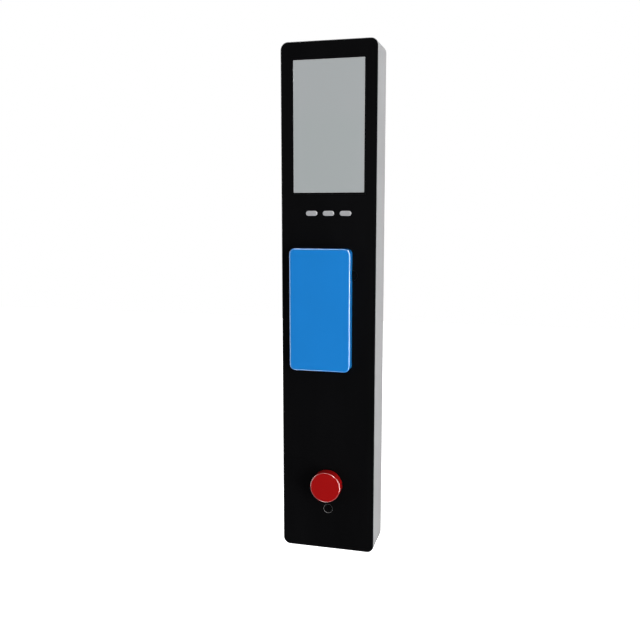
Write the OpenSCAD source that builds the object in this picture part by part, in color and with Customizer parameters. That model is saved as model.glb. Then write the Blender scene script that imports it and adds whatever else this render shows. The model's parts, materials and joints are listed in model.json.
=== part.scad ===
// Slim wall-hung ticket vending machine.
// Origin: centre of the rear mounting face. +Z is up, the front faces -Y, +X is the viewer's right.

/* [Body] */
// Width of the body
body_w = 170; // [150:1:240]
// Height of the body
body_h = 898; // [880:1:1200]
// Overall depth from the wall to the front panel's face
body_d = 73; // [68:1:110]
// Radius of the four body corners, seen from the front
corner_r = 13; // [8:0.5:20]
// Wall thickness of the rear housing and of the door frame
wall_t = 2.5; // [1.5:0.1:3]
// Thickness of the black front panel
panel_t = 3; // [2:0.1:5]

/* [Door] */
// Depth of the door frame behind the front panel
door_frame_d = 15; // [14:0.5:20]
// Gap between the door frame and the housing rim
door_gap = 0.4; // [0.3:0.05:1]
// Distance from the hinge axis to the door's left face and rear plane
hinge_r = 8; // [7.5:0.1:10]
// Radius of the hinge pins
hinge_pin_r = 2.5; // [1.5:0.1:2.8]
// Height of each housing hinge eye
hinge_eye_h = 12; // [8:1:30]
// Distance of each hinge from the top or bottom edge
hinge_inset = 49; // [40:1:120]

/* [Display] */
// Width of the visible screen
screen_w = 125; // [100:0.5:128]
// Height of the visible screen
screen_h = 222.4; // [180:0.1:230]
// Distance from the top edge of the body to the screen
screen_top = 30.6; // [28:0.1:60]

/* [Soft keys] */
// Width of each soft key
key_w = 20; // [12:0.5:26]
// Height of each soft key
key_h = 8.5; // [6:0.5:14]
// Spacing of the soft keys
key_pitch = 30.2; // [27:0.1:34]
// Distance from the screen's lower edge to the key centres
key_drop = 35.5; // [30:0.5:60]
// How far a key stands proud of the panel
key_proud = 1.4; // [1.1:0.1:3]
// Travel of a key
key_travel = 1; // [0.5:0.1:1.2]

/* [Card reader] */
// Width of the reader cover
reader_w = 108.7; // [80:0.1:110]
// Height of the reader cover
reader_h = 215.4; // [120:0.1:220]
// How far the reader cover stands out from the panel
reader_d = 19; // [14:0.5:30]
// In-plane corner radius of the reader cover
reader_corner_r = 10; // [6:0.5:20]
// Rounding of the reader cover's front edge
reader_edge_r = 3; // [1:0.1:5]
// Wall thickness of the reader cover
reader_wall_t = 2.5; // [1.5:0.1:4]
// Centre of the reader, left of the body's centre line
reader_left = 11.75; // [0:0.05:14]
// Distance from the key centres down to the reader's top edge
reader_drop = 60.2; // [30:0.1:90]

/* [Presence sensor] */
// Radius of the sensor barrel
sensor_r = 8.8; // [6:0.1:12]
// Length of the sensor barrel behind the panel face
sensor_l = 32; // [20:1:34]
// Distance of the sensor from the centre line
sensor_x = 43.4; // [40:0.1:50]
// Distance of the sensor below the reader's top edge
sensor_drop = 46.6; // [20:0.1:80]

/* [Push button] */
// Radius of the red button cap
button_r = 27.5; // [22:0.5:32]
// Height of the cap, from its skirt to its face
button_cap_h = 19; // [15:0.5:24]
// Travel of the button
button_travel = 3.5; // [2:0.1:4]
// Radius of the threaded button barrel
button_barrel_r = 15; // [11:0.5:15]
// Distance from the lock centre up to the button centre
button_up = 47.7; // [47:0.1:60]

/* [Lock] */
// Radius of the lock barrel
lock_r = 8.3; // [7:0.1:10]
// How far the lock's face is sunk below the panel face
lock_sunk = 2; // [0.5:0.1:2.5]
// Distance from the body's bottom edge to the lock centre
lock_up = 75.5; // [70:0.5:110]
// Length of the lock cam from the lock centre
cam_l = 45; // [38:1:50]

/* [Ticket printer] */
// Width of the paper
paper_w = 58; // [40:0.5:62]
// Outer radius of a full paper roll
roll_r = 23; // [16:0.5:23]
// Radius of the roll spindle
spindle_r = 6; // [4:0.1:8]
// Radius of the platen roller
platen_r = 6; // [5:0.1:6.5]
// Radius of the platen shaft
platen_shaft_r = 2.5; // [2:0.1:3]
// Tooth module of the printer gears
gear_m = 0.8; // [0.75:0.01:0.9]
// Teeth of the platen gear
platen_teeth = 28; // [26:1:32]
// Teeth of the motor pinion
pinion_teeth = 12; // [12:1:14]
// Depth of the ticket slot
slot_d = 6; // [5:0.1:7]
// Travel of the cutter blade
cutter_travel = 5.4; // [4:0.1:5.6]

/* [Wall fixing] */
// Spacing of the wall bolts, across
wall_bolt_x = 110; // [60:1:120]
// Distance of the wall bolts from the top and bottom edges
wall_bolt_inset = 69; // [60:1:120]
// Radius of the wall bolt holes
wall_bolt_r = 3.5; // [2:0.1:5]
// Radius of the cable opening through the grommet
cable_r = 6; // [3:0.1:8]

/* [Hidden] */
$fn = 48;

// Clearances
fit = 0.06;           // radial clearance of a turning or sliding shaft
play = 0.3;           // clearance between separate bodies that don't bear on each other
eps = 0.01;
over = 1;             // overshoot of a cutting tool

// Planes, from front to back
y_front = -body_d;
y_panel = y_front + panel_t;
y_frame = y_panel + door_frame_d;
y_rim = y_frame + door_gap;
y_wall = -wall_t;
half_w = body_w / 2;
half_h = body_h / 2;
inner_w = body_w - 2 * wall_t;
inner_h = body_h - 2 * wall_t;

// Hinge
hinge_x = -half_w + hinge_r;
hinge_y = y_frame - hinge_r;
hinge_zs = [half_h - hinge_inset, -half_h + hinge_inset];
flange_t = 2;
flange_w = 12;
eye_r = hinge_r - wall_t - 0.9;
ear_t = 3;
ear_w = hinge_r - wall_t;
lug_t = 2.5;
lug_foot_d = 22;
lug_foot_h = 34;
lug_web_y = y_rim + 4.6;
lug_screw_r = 1.6;
lug_screw_step = 12;
lug_screw_y = lug_web_y + lug_foot_d / 2 + 3;
pin_head_r = hinge_pin_r + 1.2;
pin_head_t = 1.5;

// Front-panel layout
screen_z = half_h - screen_top - screen_h / 2;
key_z = screen_z - screen_h / 2 - key_drop;
key_xs = [-key_pitch, 0, key_pitch];
reader_x = -reader_left;
reader_top = key_z - reader_drop;
reader_z = reader_top - reader_h / 2;
sensor_z = reader_top - sensor_drop;
lock_z = -half_h + lock_up;
button_z = lock_z + button_up;

// Display
glass_w = screen_w + 6;
glass_h = screen_h + 6;
glass_gap = 0.15;
lcd_w = screen_w + 15;
lcd_h = screen_h + 6.6;
lcd_t = 5.5;
lcd_gap = 0.2;
lcd_back = y_panel + lcd_gap + lcd_t;
bracket_t = 1.5;
bracket_back = lcd_back + bracket_t;
bracket_lip = 12;
stud_r = 3;
bracket_stud_x = screen_w / 2 - 4;
bracket_stud_z = lcd_h / 2 + 5.5;
stud_tip_r = 1.5;
stud_tip_l = 5;
board_t = 1.6;
board_w = 116;
board_h = 150;
board_stand = 5.5;
board_front = bracket_back + board_stand;
board_hole_x = board_w / 2 - 5;
board_hole_z = board_h / 2 - 5;
nut_r = stud_r + 0.4;
nut_t = 2.4;

// Soft keys
key_flange = 1.3;
key_flange_t = 1;
key_stem_r = 1.8;
switch_h = 4;
switch_w = 6.2;
key_stem_l = 2.4;
key_gap = 0.2;
switch_front = y_panel + play + key_flange_t + key_stem_l + key_travel + key_gap;
key_board_front = switch_front + switch_h;
key_board_w = 2 * key_pitch + 44;
key_board_h = 22;
key_stud_x = key_board_w / 2 - 5;

// Reader
reader_base_t = 2;
reader_gap = 0.3;
reader_board_stand = 7;
reader_board_t = 1.6;
reader_post_x = reader_w / 2 - 14;
reader_post_z = reader_h / 2 - 14;
reader_cable_r = 6;
reader_cable_z = reader_z - 30;
reader_post_r = 4;
barrel_gap = 0.1;
sensor_proud = 1.5;
sensor_relief = 1.2;
sensor_nut_t = 4;
sensor_nut_r = sensor_r + 3.6;
sensor_tail_r = sensor_r - 4;
sensor_tail_l = 6;
lens_t = 2;
lens_sunk = 0.4;
lens_rim = 1.6;

// Push button
button_flange_t = 3.4;
button_flange_r = button_r - 6.5;
button_skirt_gap = button_travel + 0.7;
button_skirt = y_front - button_skirt_gap;
button_face = button_skirt - button_cap_h;
button_cap_t = 3;
button_edge_r = 2.4;
button_stem_r = 7.5;
button_barrel_back = y_panel + 18;
button_stem_back = button_barrel_back - 6;
button_nut_t = 5;
button_nut_r = button_barrel_r + 4.5;
contact_w = 30;
contact_h = 26;
contact_d = 16;
spring_wire_r = 0.8;
spring_coil_r = button_stem_r + 3;
spring_turns = 5;
spring_steps = 14;
spring_well_r = spring_coil_r + spring_wire_r + 0.7;
spring_back = y_front - button_flange_t + 2;
spring_front = button_face + button_cap_t;

// Lock
lock_face = y_front + lock_sunk;
lock_flange_r = lock_r + 3;
lock_flange_t = 1.5;
lock_barrel_back = y_panel + 22;
lock_nut_y = y_panel + lock_flange_t + 4;
lock_nut_t = 4;
lock_plug_r = 5.5;
key_slot_w = 1.4;
key_slot_l = 7;
key_slot_d = 12;
cam_t = 2;
cam_w = 12;
cam_y = lock_barrel_back + 1.5;
cam_boss_r = 8;
cam_screw_r = 4;
cam_screw_t = 2.2;
cam_bore_r = cam_screw_r - 1.5;
lock_nut_r = lock_r + 4;
plug_sunk = 0.2;
keeper_t = 2;
keeper_w = 26;
keeper_y = cam_y - 0.5 - keeper_t;
keeper_bite = 9;
keeper_top = lock_z - cam_l + keeper_bite;
keeper_foot_d = 18;
keeper_hole_r = 1.7;

// Magnetic catch, at the free edge near the top
catch_w = 8;
catch_h = 30;
catch_d = 10;
catch_z = half_h - 70;
catch_plate_t = 1.5;
catch_web_t = 1.5;

// Housing contents
psu_w = 100;
psu_h = 110;
psu_d = 34;
psu_z = sensor_z + sensor_r + 5 + psu_h / 2;
terminal_w = 72;
terminal_h = 20;
terminal_d = 22;
terminal_z = -26;
terminal_poles = 8;
modem_w = 62;
modem_h = 84;
modem_d = 14;
modem_z = psu_z + psu_h / 2 + 20 + modem_h / 2;
grommet_r = cable_r + 4;
grommet_lip = 3;
grommet_lip_t = 4;
grommet_z = -78;
earth_x = 52;
earth_z = -78;
earth_r = 2.5;
earth_l = 16;
seal_w = 3;
seal_d = 4.2;
catch_y = y_rim + seal_d + play;
bolt_z = half_h - wall_bolt_inset;

// Printer
plate_t = 2;
chassis_half = paper_w / 2 + 9;
paper_y = -16;
head_gap = 0.4;
platen_y = paper_y - head_gap - platen_r;
platen_z = lock_z + 143.5;
gear_t = 4;
gear_x = chassis_half + 1;
gear_centre = gear_m * (platen_teeth + pinion_teeth) / 2;
motor_turn = 135;
motor_y = platen_y + gear_centre * cos(motor_turn);
motor_z = platen_z + gear_centre * sin(motor_turn);
motor_r = gear_centre - platen_r - 1;
motor_l = 20;
motor_shaft_r = 1;
chassis_front = motor_y - motor_r - 2;
chassis_top = motor_z + motor_r + 4;
chassis_bottom = platen_z - 34;
chassis_foot = 8;
platen_w = paper_w - 1;
head_h = 12;
head_d = 4;
head_sink_d = 3;
cutter_top = platen_z - platen_r - 7;
cutter_h = 12;
cutter_z = cutter_top - cutter_h / 2;
cutter_front = paper_y - 16;
cutter_back = paper_y + 9;
blade_t = 1.2;
blade_l = 12;
blade_half = paper_w / 2 + 2;
blade_rest = paper_y - slot_d / 2 - 0.5;
blade_end_gap = 0.4;
chute_t = 1.5;
chute_half = paper_w / 2 + 3;
chute_top = chassis_bottom - 1;
bezel_h = 9;
bezel_t = 2.5;
chute_bottom = -half_h + bezel_h;
chute_tab_h = 14;
chute_front = paper_y - slot_d / 2;
chute_back = paper_y + slot_d / 2;
bezel_half = chute_half + bezel_t;
bezel_front = chute_front - bezel_t;
bezel_back = chute_back + bezel_t;
printer_screw_x = chassis_half - plate_t - 5;
printer_screw_zs = [chassis_bottom + 6, chassis_top + chassis_foot / 2];
roll_y = y_wall - plate_t - 0.7 - roll_r;
roll_z = platen_z + 74;
roll_arm_x = paper_w / 2 + 2.5;
roll_arm_h = 20;
roll_arm_front = roll_y - 10;
roll_back_h = 60;
bracket_screw_x = 18;
bracket_screw_z = roll_back_h / 2 - 4;
spindle_end_r = 3.5;
spindle_head_t = 3;
spindle_wall = 2.2;
screw_r = 1.5;
screw_head_r = 2.9;
screw_head_t = 1.8;

// Loom from the power supply down to the printer, clipped to the right side of the rear wall
loom_r = 2.4;
loom_x = 62;
loom_y = y_wall - psu_d + 3;
loom_top = psu_z - psu_h / 2;
loom_route = [
    [30, loom_y, loom_top + 9], [30, loom_y, loom_top - 4],
    [34, loom_y + 5, loom_top - 12], [50, -12, loom_top - 20],
    [loom_x, -7, loom_top - 32], [loom_x, -7, terminal_z - 60],
    [loom_x, -7, chassis_top + 30], [loom_x - 4, -8, chassis_top + 16],
    [loom_x - 14, -10, chassis_top + 8], [chassis_half + 4, -12, chassis_top - 4],
    [chassis_half + 3, -12, chassis_top - 14]
];

// ---- Helpers -------------------------------------------------------------------------------

// Box between two corners
module block(lo, hi) {
    translate(lo) cube([hi[0] - lo[0], hi[1] - lo[1], hi[2] - lo[2]]);
}

// Outline in X and Z, from depth y0 back to y1
module slab(y0, y1) {
    translate([0, y1, 0]) rotate([90, 0, 0]) linear_extrude(y1 - y0) children();
}

// Round bars along each axis
module bar_y(x, z, r, y0, y1) { translate([x, y1, z]) rotate([90, 0, 0]) cylinder(r = r, h = y1 - y0); }
module bar_x(y, z, r, x0, x1) { translate([x0, y, z]) rotate([0, 90, 0]) cylinder(r = r, h = x1 - x0); }
module bar_z(x, y, r, z0, z1) { translate([x, y, z0]) cylinder(r = r, h = z1 - z0); }

// Hexagonal bar along Y
module hex_y(x, z, r, y0, y1) {
    translate([x, y1, z]) rotate([90, 0, 0]) cylinder(r = r, h = y1 - y0, $fn = 6);
}

// Rectangle with true round corners, centred
module rounded(w, h, r) {
    square([w - 2 * r, h], center = true);
    square([w, h - 2 * r], center = true);
    for (sx = [-1, 1], sz = [-1, 1]) translate([sx * (w / 2 - r), sz * (h / 2 - r)]) circle(r);
}

// Slot with full round ends, lying along X
module pill(w, h) {
    square([w - h, h], center = true);
    for (s = [-1, 1]) translate([s * (w - h) / 2, 0]) circle(h / 2);
}

// Slotted cheese-head screw along Y: its head rests on depth y, its shank runs back or forward
module screw_y(x, z, y, l, way = 1) {
    bar_y(x, z, screw_r, min(y, y + way * l), max(y, y + way * l));
    difference() {
        bar_y(x, z, screw_head_r, min(y, y - way * screw_head_t), max(y, y - way * screw_head_t));
        translate([x, y - way * screw_head_t, z]) cube([8, 1.2, 0.8], center = true);
    }
}

// Tube swept along a list of points, with rings square to the route
function unit(v) = v / norm(v);
function lean(p, i) = unit(p[min(i + 1, len(p) - 1)] - p[max(i - 1, 0)]);
function ring(p, i, r, n) = let (t = lean(p, i), u = unit(cross(t, [0, 1, 0.05])), v = cross(t, u))
    [for (j = [0:n - 1]) p[i] + r * (cos(360 * j / n) * u + sin(360 * j / n) * v)];
module sweep(p, r, n) {
    m = len(p);
    rings = [for (i = [0:m - 1]) each ring(p, i, r, n)];
    sides = [for (i = [0:m - 2], j = [0:n - 1])
        [i * n + j, (i + 1) * n + j, (i + 1) * n + (j + 1) % n, i * n + (j + 1) % n]];
    first = [for (j = [0:n - 1]) j];
    last = [for (j = [n - 1:-1:0]) (m - 1) * n + j];
    polyhedron(rings, concat(sides, [first], [last]), convexity = 8);
}

// Involute gear outline
pressure = 20;
addendum = 0.8;
dedendum = 1.2;
backlash = 0.1;
flank_steps = 4;
function involute(a) = tan(a) * 180 / PI - a;
function tooth_half(r, rp, teeth) =
    let (rb = rp * cos(pressure), a = r > rb ? acos(rb / r) : 0)
    90 / teeth - backlash / rp * 180 / PI / 2 + involute(pressure) - involute(a);
function gear_points(teeth) =
    let (rp = gear_m * teeth / 2, ra = rp + addendum * gear_m, rf = rp - dedendum * gear_m)
    let (r0 = max(rf + 0.05, rp * cos(pressure)))
    [for (i = [0:teeth - 1]) let (c = 360 * i / teeth) each concat(
        [let (a = c - tooth_half(r0, rp, teeth)) rf * [cos(a), sin(a)]],
        [for (k = [0:flank_steps]) let (r = r0 + (ra - r0) * k / flank_steps,
            a = c - tooth_half(r, rp, teeth)) r * [cos(a), sin(a)]],
        [for (k = [flank_steps:-1:0]) let (r = r0 + (ra - r0) * k / flank_steps,
            a = c + tooth_half(r, rp, teeth)) r * [cos(a), sin(a)]],
        [let (a = c + tooth_half(r0, rp, teeth)) rf * [cos(a), sin(a)]])];
module gear_x(y, z, turn, teeth, x0, t, bore) {
    translate([x0, y, z]) rotate([90, 0, 90]) linear_extrude(t) difference() {
        rotate(turn) polygon(gear_points(teeth));
        circle(bore);
    }
}

// ---- Rear housing --------------------------------------------------------------------------

// Surround: the band that forms the machine's sides, open at the front and at the back
module housing_shell() {
    color("silver") difference() {
        slab(y_rim, 0) rounded(body_w, body_h, corner_r);
        slab(y_rim - over, over) rounded(inner_w, inner_h, corner_r - wall_t);
        block([-bezel_half - play, bezel_front - play, -half_h - over],
              [bezel_half + play, bezel_back + play, -half_h + wall_t + over]);
    }
}

// Rear plate welded in flush with the surround's back edge: it carries everything in the cabinet
module back_plate() {
    color("gainsboro") difference() {
        slab(y_wall, 0) rounded(inner_w - 2 * fit, inner_h - 2 * fit, corner_r - wall_t - fit);
        for (sx = [-1, 1], sz = [-1, 1])
            bar_y(sx * wall_bolt_x / 2, sz * bolt_z, wall_bolt_r, y_wall - over, over);
        bar_y(0, grommet_z, grommet_r, y_wall - over, over);
    }
}

// One hinge lug: the eye, its arm past the door edge, and the foot on the housing's left wall
module hinge_lug(z) {
    lug_right = hinge_x + ear_w;
    difference() {
        union() {
            bar_z(hinge_x, hinge_y, eye_r, z - hinge_eye_h / 2, z + hinge_eye_h / 2);
            block([hinge_x + play, hinge_y, z - hinge_eye_h / 2],
                  [lug_right, lug_web_y + lug_t, z + hinge_eye_h / 2]);
            block([-half_w + wall_t, lug_web_y, z - hinge_eye_h / 2],
                  [lug_right, lug_web_y + lug_t, z + hinge_eye_h / 2]);
            block([-half_w + wall_t, lug_web_y, z - lug_foot_h / 2],
                  [-half_w + wall_t + lug_t, lug_web_y + lug_foot_d, z + lug_foot_h / 2]);
        }
        bar_z(hinge_x, hinge_y, hinge_pin_r + fit, z - hinge_eye_h, z + hinge_eye_h);
        for (s = [-1, 1])
            bar_x(lug_screw_y, z + s * lug_screw_step, lug_screw_r, -half_w, -half_w + 3 * lug_t);
    }
}

module hinge_lugs() {
    color("gainsboro") for (z = hinge_zs) hinge_lug(z);
}

module hinge_screws() {
    color("dimgray") for (z = hinge_zs, s = [-1, 1]) {
        x = -half_w + wall_t + lug_t;
        bar_x(lug_screw_y, z + s * lug_screw_step, lug_screw_r, x - lug_t, x + eps);
        bar_x(lug_screw_y, z + s * lug_screw_step, screw_head_r, x, x + screw_head_t);
    }
}

module door_seal() {
    inset = wall_t;
    color("dimgray") slab(y_rim, y_rim + seal_d) difference() {
        rounded(body_w - 2 * inset, body_h - 2 * inset, corner_r - inset);
        rounded(body_w - 2 * inset - 2 * seal_w, body_h - 2 * inset - 2 * seal_w,
                corner_r - inset - seal_w);
    }
}

// Enclosed supply with vent slots in its cover and a terminal strip at its lower end
module power_supply() {
    front = y_wall - psu_d;
    bottom = psu_z - psu_h / 2;
    strip_h = 14;
    strip_d = 16;
    cheek = 4;
    vents = 9;
    vent_pitch = 8;
    vent_h = 3;
    vent_d = 1.5;
    vent_inset = 14;
    vent_low = psu_z - 22;
    poles = 5;
    pole_pitch = 16;
    pole_w = 12;
    pole_d = 10;
    pole_gap = 1;
    color("lightgray") difference() {
        block([-psu_w / 2, front, bottom], [psu_w / 2, y_wall, psu_z + psu_h / 2]);
        block([-psu_w / 2 + cheek, front - over, bottom - over],
              [psu_w / 2 - cheek, front + strip_d, bottom + strip_h]);
        for (i = [0:vents - 1]) translate([0, 0, vent_low + i * vent_pitch])
            block([-psu_w / 2 + vent_inset, front - over, 0],
                  [psu_w / 2 - vent_inset, front + vent_d, vent_h]);
    }
    color("dimgray") for (i = [0:poles - 1])
        translate([(i - (poles - 1) / 2) * pole_pitch, 0, bottom])
            block([-pole_w / 2, front + strip_d - pole_d, pole_gap],
                  [pole_w / 2, front + strip_d, strip_h]);
}

// Pluggable terminals on a short mounting rail
module terminal_block() {
    pole = terminal_w / terminal_poles;
    front = y_wall - terminal_d;
    rail_d = 7.5;
    rail_h = 16;
    rail_end = 8;
    well_r = 2;
    well_d = 5;
    well_step = 5;
    color("gainsboro") block([-terminal_w / 2 - rail_end, y_wall - rail_d, terminal_z - rail_h / 2],
                             [terminal_w / 2 + rail_end, y_wall, terminal_z + rail_h / 2]);
    color("green") for (i = [0:terminal_poles - 1]) difference() {
        x = -terminal_w / 2 + i * pole;
        block([x, front, terminal_z - terminal_h / 2],
              [x + pole, y_wall - rail_d, terminal_z + terminal_h / 2]);
        for (s = [-1, 1])
            bar_y(x + pole / 2, terminal_z + s * well_step, well_r, front - over, front + well_d);
    }
}

module earth_stud() {
    washer_t = 1;
    hex_t = 4;
    color("gold") {
        bar_y(earth_x, earth_z, earth_r, y_wall - earth_l, y_wall);
        hex_y(earth_x, earth_z, earth_r + 2, y_wall - washer_t - hex_t, y_wall - washer_t);
        bar_y(earth_x, earth_z, earth_r + 3, y_wall - washer_t, y_wall);
    }
}

module cable_grommet() {
    color("black") difference() {
        union() {
            bar_y(0, grommet_z, grommet_r, y_wall - eps, 0);
            bar_y(0, grommet_z, grommet_r + grommet_lip, y_wall - grommet_lip_t, y_wall);
        }
        bar_y(0, grommet_z, cable_r, y_wall - grommet_lip_t - over, over);
    }
}

// Radio modem with a finned case and two aerial sockets
module modem() {
    bottom = modem_z - modem_h / 2;
    top = modem_z + modem_h / 2;
    fins = 7;
    fin_pitch = 8.5;
    fin_w = 3;
    fin_d = 2;
    fin_end = 6;
    socket_x = 16;
    socket_r = 3;
    socket_l = 9;
    case_front = y_wall - modem_d + fin_d;
    color("darkslategray") {
        block([-modem_w / 2, case_front, bottom], [modem_w / 2, y_wall, top]);
        for (i = [0:fins - 1]) translate([-modem_w / 2 + fin_w + i * fin_pitch, 0, 0])
            block([0, case_front - fin_d, bottom + fin_end], [fin_w, case_front, top - fin_end]);
    }
    color("gold") for (s = [-1, 1])
        bar_z(s * socket_x, y_wall - modem_d / 2, socket_r, bottom - socket_l, bottom);
}

module power_loom() {
    color("black") sweep(loom_route, loom_r, 8);
}

// ---- Ticket printer ------------------------------------------------------------------------

// Cradle with open arms, so that the spindle lifts out towards the front
module roll_bracket() {
    color("gainsboro") {
        difference() {
            block([-roll_arm_x - plate_t, y_wall - plate_t, roll_z - roll_back_h / 2],
                  [roll_arm_x + plate_t, y_wall, roll_z + roll_back_h / 2]);
            for (s = [-1, 1], t = [-1, 1])
                bar_y(s * bracket_screw_x, roll_z + t * bracket_screw_z, screw_r,
                      y_wall - plate_t - over, over);
        }
        for (s = [-1, 1]) difference() {
            block([s > 0 ? roll_arm_x : -roll_arm_x - plate_t, roll_arm_front, roll_z - roll_arm_h / 2],
                  [s > 0 ? roll_arm_x + plate_t : -roll_arm_x, y_wall - plate_t / 2,
                   roll_z + roll_arm_h / 2]);
            bar_x(roll_y, roll_z, spindle_end_r, -roll_arm_x - 2 * plate_t, roll_arm_x + 2 * plate_t);
            block([-roll_arm_x - 2 * plate_t, roll_arm_front - over, roll_z - spindle_end_r],
                  [roll_arm_x + 2 * plate_t, roll_y, roll_z + spindle_end_r]);
        }
    }
}

module roll_spindle() {
    reach = roll_arm_x + plate_t;
    end_gap = 0.2;
    color("whitesmoke") {
        bar_x(roll_y, roll_z, spindle_r, -roll_arm_x + end_gap, roll_arm_x - end_gap);
        bar_x(roll_y, roll_z, spindle_end_r, -reach, reach);
        for (s = [-1, 1])
            bar_x(roll_y, roll_z, spindle_r, s > 0 ? reach : -reach - spindle_head_t,
                  s > 0 ? reach + spindle_head_t : -reach);
    }
}

module roll_core() {
    color("tan") difference() {
        bar_x(roll_y, roll_z, spindle_r + fit + spindle_wall, -paper_w / 2, paper_w / 2);
        bar_x(roll_y, roll_z, spindle_r + fit, -paper_w, paper_w);
    }
}

module paper_roll() {
    color("white") difference() {
        bar_x(roll_y, roll_z, roll_r, -paper_w / 2, paper_w / 2);
        bar_x(roll_y, roll_z, spindle_r + fit + spindle_wall, -paper_w, paper_w);
    }
}

// Two side plates on a back plate, with bores for the platen shaft and the motor
module printer_chassis() {
    color("gainsboro") difference() {
        union() {
            block([-chassis_half, y_wall - plate_t, chassis_bottom],
                  [chassis_half, y_wall, chassis_top + chassis_foot]);
            for (x = [-chassis_half, chassis_half - plate_t])
                block([x, chassis_front, chassis_bottom], [x + plate_t, y_wall, chassis_top]);
        }
        bar_x(platen_y, platen_z, platen_shaft_r + fit, -body_w, body_w);
        bar_x(motor_y, motor_z, motor_shaft_r + play, 0, body_w);
        for (s = [-1, 1], z = printer_screw_zs)
            bar_y(s * printer_screw_x, z, screw_r, -body_d, over);
    }
}

module printer_screws() {
    color("dimgray") for (s = [-1, 1], z = printer_screw_zs)
        screw_y(s * printer_screw_x, z, y_wall - plate_t, plate_t);
    color("dimgray") for (s = [-1, 1], t = [-1, 1])
        screw_y(s * bracket_screw_x, roll_z + t * bracket_screw_z, y_wall - plate_t, plate_t);
}

// Thermal head across the paper, with its finned heat spreader behind it
module print_head() {
    head_back = paper_y + head_d;
    fin_pitch = 9;
    fin_w = 4;
    side_fins = 3;
    color("dimgray") translate([0, 0, platen_z]) {
        block([-chassis_half + plate_t, paper_y, -head_h / 2],
              [chassis_half - plate_t, head_back, head_h / 2]);
        for (i = [-side_fins:side_fins]) translate([i * fin_pitch, 0, 0])
            block([-fin_w / 2, head_back, -head_h / 2],
                  [fin_w / 2, head_back + head_sink_d, head_h / 2]);
    }
}

// Leaf spring that presses the head forward
module head_spring() {
    front = paper_y + head_d + head_sink_d;
    leaf_half = 20;
    leaf_t = 0.6;
    leaf_h = 6;
    leg_x = 18;
    leg_w = 4;
    color("silver") translate([0, 0, platen_z]) {
        block([-leaf_half, front, -leaf_h / 2], [leaf_half, front + leaf_t, leaf_h / 2]);
        for (s = [-1, 1]) translate([s * leg_x, 0, 0])
            block([-leg_w / 2, front, -leaf_h / 2], [leg_w / 2, y_wall - plate_t, leaf_h / 2]);
    }
}

module platen_roller() {
    shaft_end = 2;
    color("dimgray") bar_x(platen_y, platen_z, platen_r, -platen_w / 2, platen_w / 2);
    color("silver") bar_x(platen_y, platen_z, platen_shaft_r, -chassis_half - shaft_end,
                          gear_x + gear_t + shaft_end / 2);
}

module platen_gear() {
    color("whitesmoke") gear_x(platen_y, platen_z, motor_turn, platen_teeth, gear_x, gear_t,
                               platen_shaft_r);
}

module printer_motor() {
    inner = chassis_half - plate_t;
    plug_l = 3;
    plug_d = 8;
    plug_h = 10;
    color("dimgray") {
        bar_x(motor_y, motor_z, motor_r, inner - motor_l, inner);
        block([inner - motor_l - plug_l, motor_y - plug_d / 2, motor_z - plug_h / 2],
              [inner - motor_l, motor_y + plug_d / 2, motor_z + plug_h / 2]);
    }
}

module motor_pinion() {
    inner = chassis_half - plate_t;
    press = 0.4;
    color("gold") gear_x(motor_y, motor_z, motor_turn + 180 + 180 / pinion_teeth, pinion_teeth,
                         gear_x, gear_t, motor_shaft_r - press);
    color("silver") bar_x(motor_y, motor_z, motor_shaft_r, inner + play, gear_x + gear_t);
}

// Guillotine block with the paper slot through it and a guide for the blade
module cutter_body() {
    inner = chassis_half - plate_t;
    color("slategray") difference() {
        block([-inner, cutter_front, cutter_z - cutter_h / 2],
              [inner, cutter_back, cutter_z + cutter_h / 2]);
        block([-blade_half, paper_y - slot_d / 2, cutter_z - cutter_h],
              [blade_half, paper_y + slot_d / 2, cutter_z + cutter_h]);
        block([-blade_half - play, cutter_front - over, cutter_z - blade_t / 2 - play],
              [blade_half + play, paper_y + slot_d / 2 + blade_end_gap,
               cutter_z + blade_t / 2 + play]);
    }
}

// Blade with a drive tongue at its front edge
module cutter_blade() {
    tongue_w = 12;
    tongue_l = 5;
    color("silver") translate([0, blade_rest, cutter_z]) {
        block([-blade_half, -blade_l, -blade_t / 2], [blade_half, 0, blade_t / 2]);
        block([-tongue_w / 2, -blade_l - tongue_l, -blade_t / 2],
              [tongue_w / 2, eps - blade_l, blade_t / 2]);
    }
}

// Folded channel that leads the ticket down behind the button and the lock, with tabs to the
// back plate
module chute_channel() {
    tab_x = 20;
    tab_w = 10;
    color("gainsboro") {
        difference() {
            block([-chute_half - chute_t, chute_front, chute_bottom],
                  [chute_half + chute_t, chute_back + chute_t, chute_top]);
            block([-chute_half, chute_front - over, chute_bottom - over],
                  [chute_half, chute_back, chute_top + over]);
        }
        for (z = [chute_top - 2 * chute_tab_h, chute_bottom + chute_tab_h], s = [-1, 1])
            translate([s * tab_x, 0, z])
                block([-tab_w / 2, chute_back + chute_t, 0], [tab_w / 2, y_wall, chute_tab_h]);
    }
}

// Flat cover over the channel's open front
module chute_cover() {
    color("silver") block([-chute_half - chute_t, chute_front - chute_t, chute_bottom],
                          [chute_half + chute_t, chute_front, chute_top]);
}

module outlet_bezel() {
    color("black") difference() {
        block([-bezel_half, bezel_front, -half_h], [bezel_half, bezel_back, chute_bottom]);
        block([-chute_half, chute_front, -half_h - over],
              [chute_half, chute_back, chute_bottom + over]);
    }
}

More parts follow.
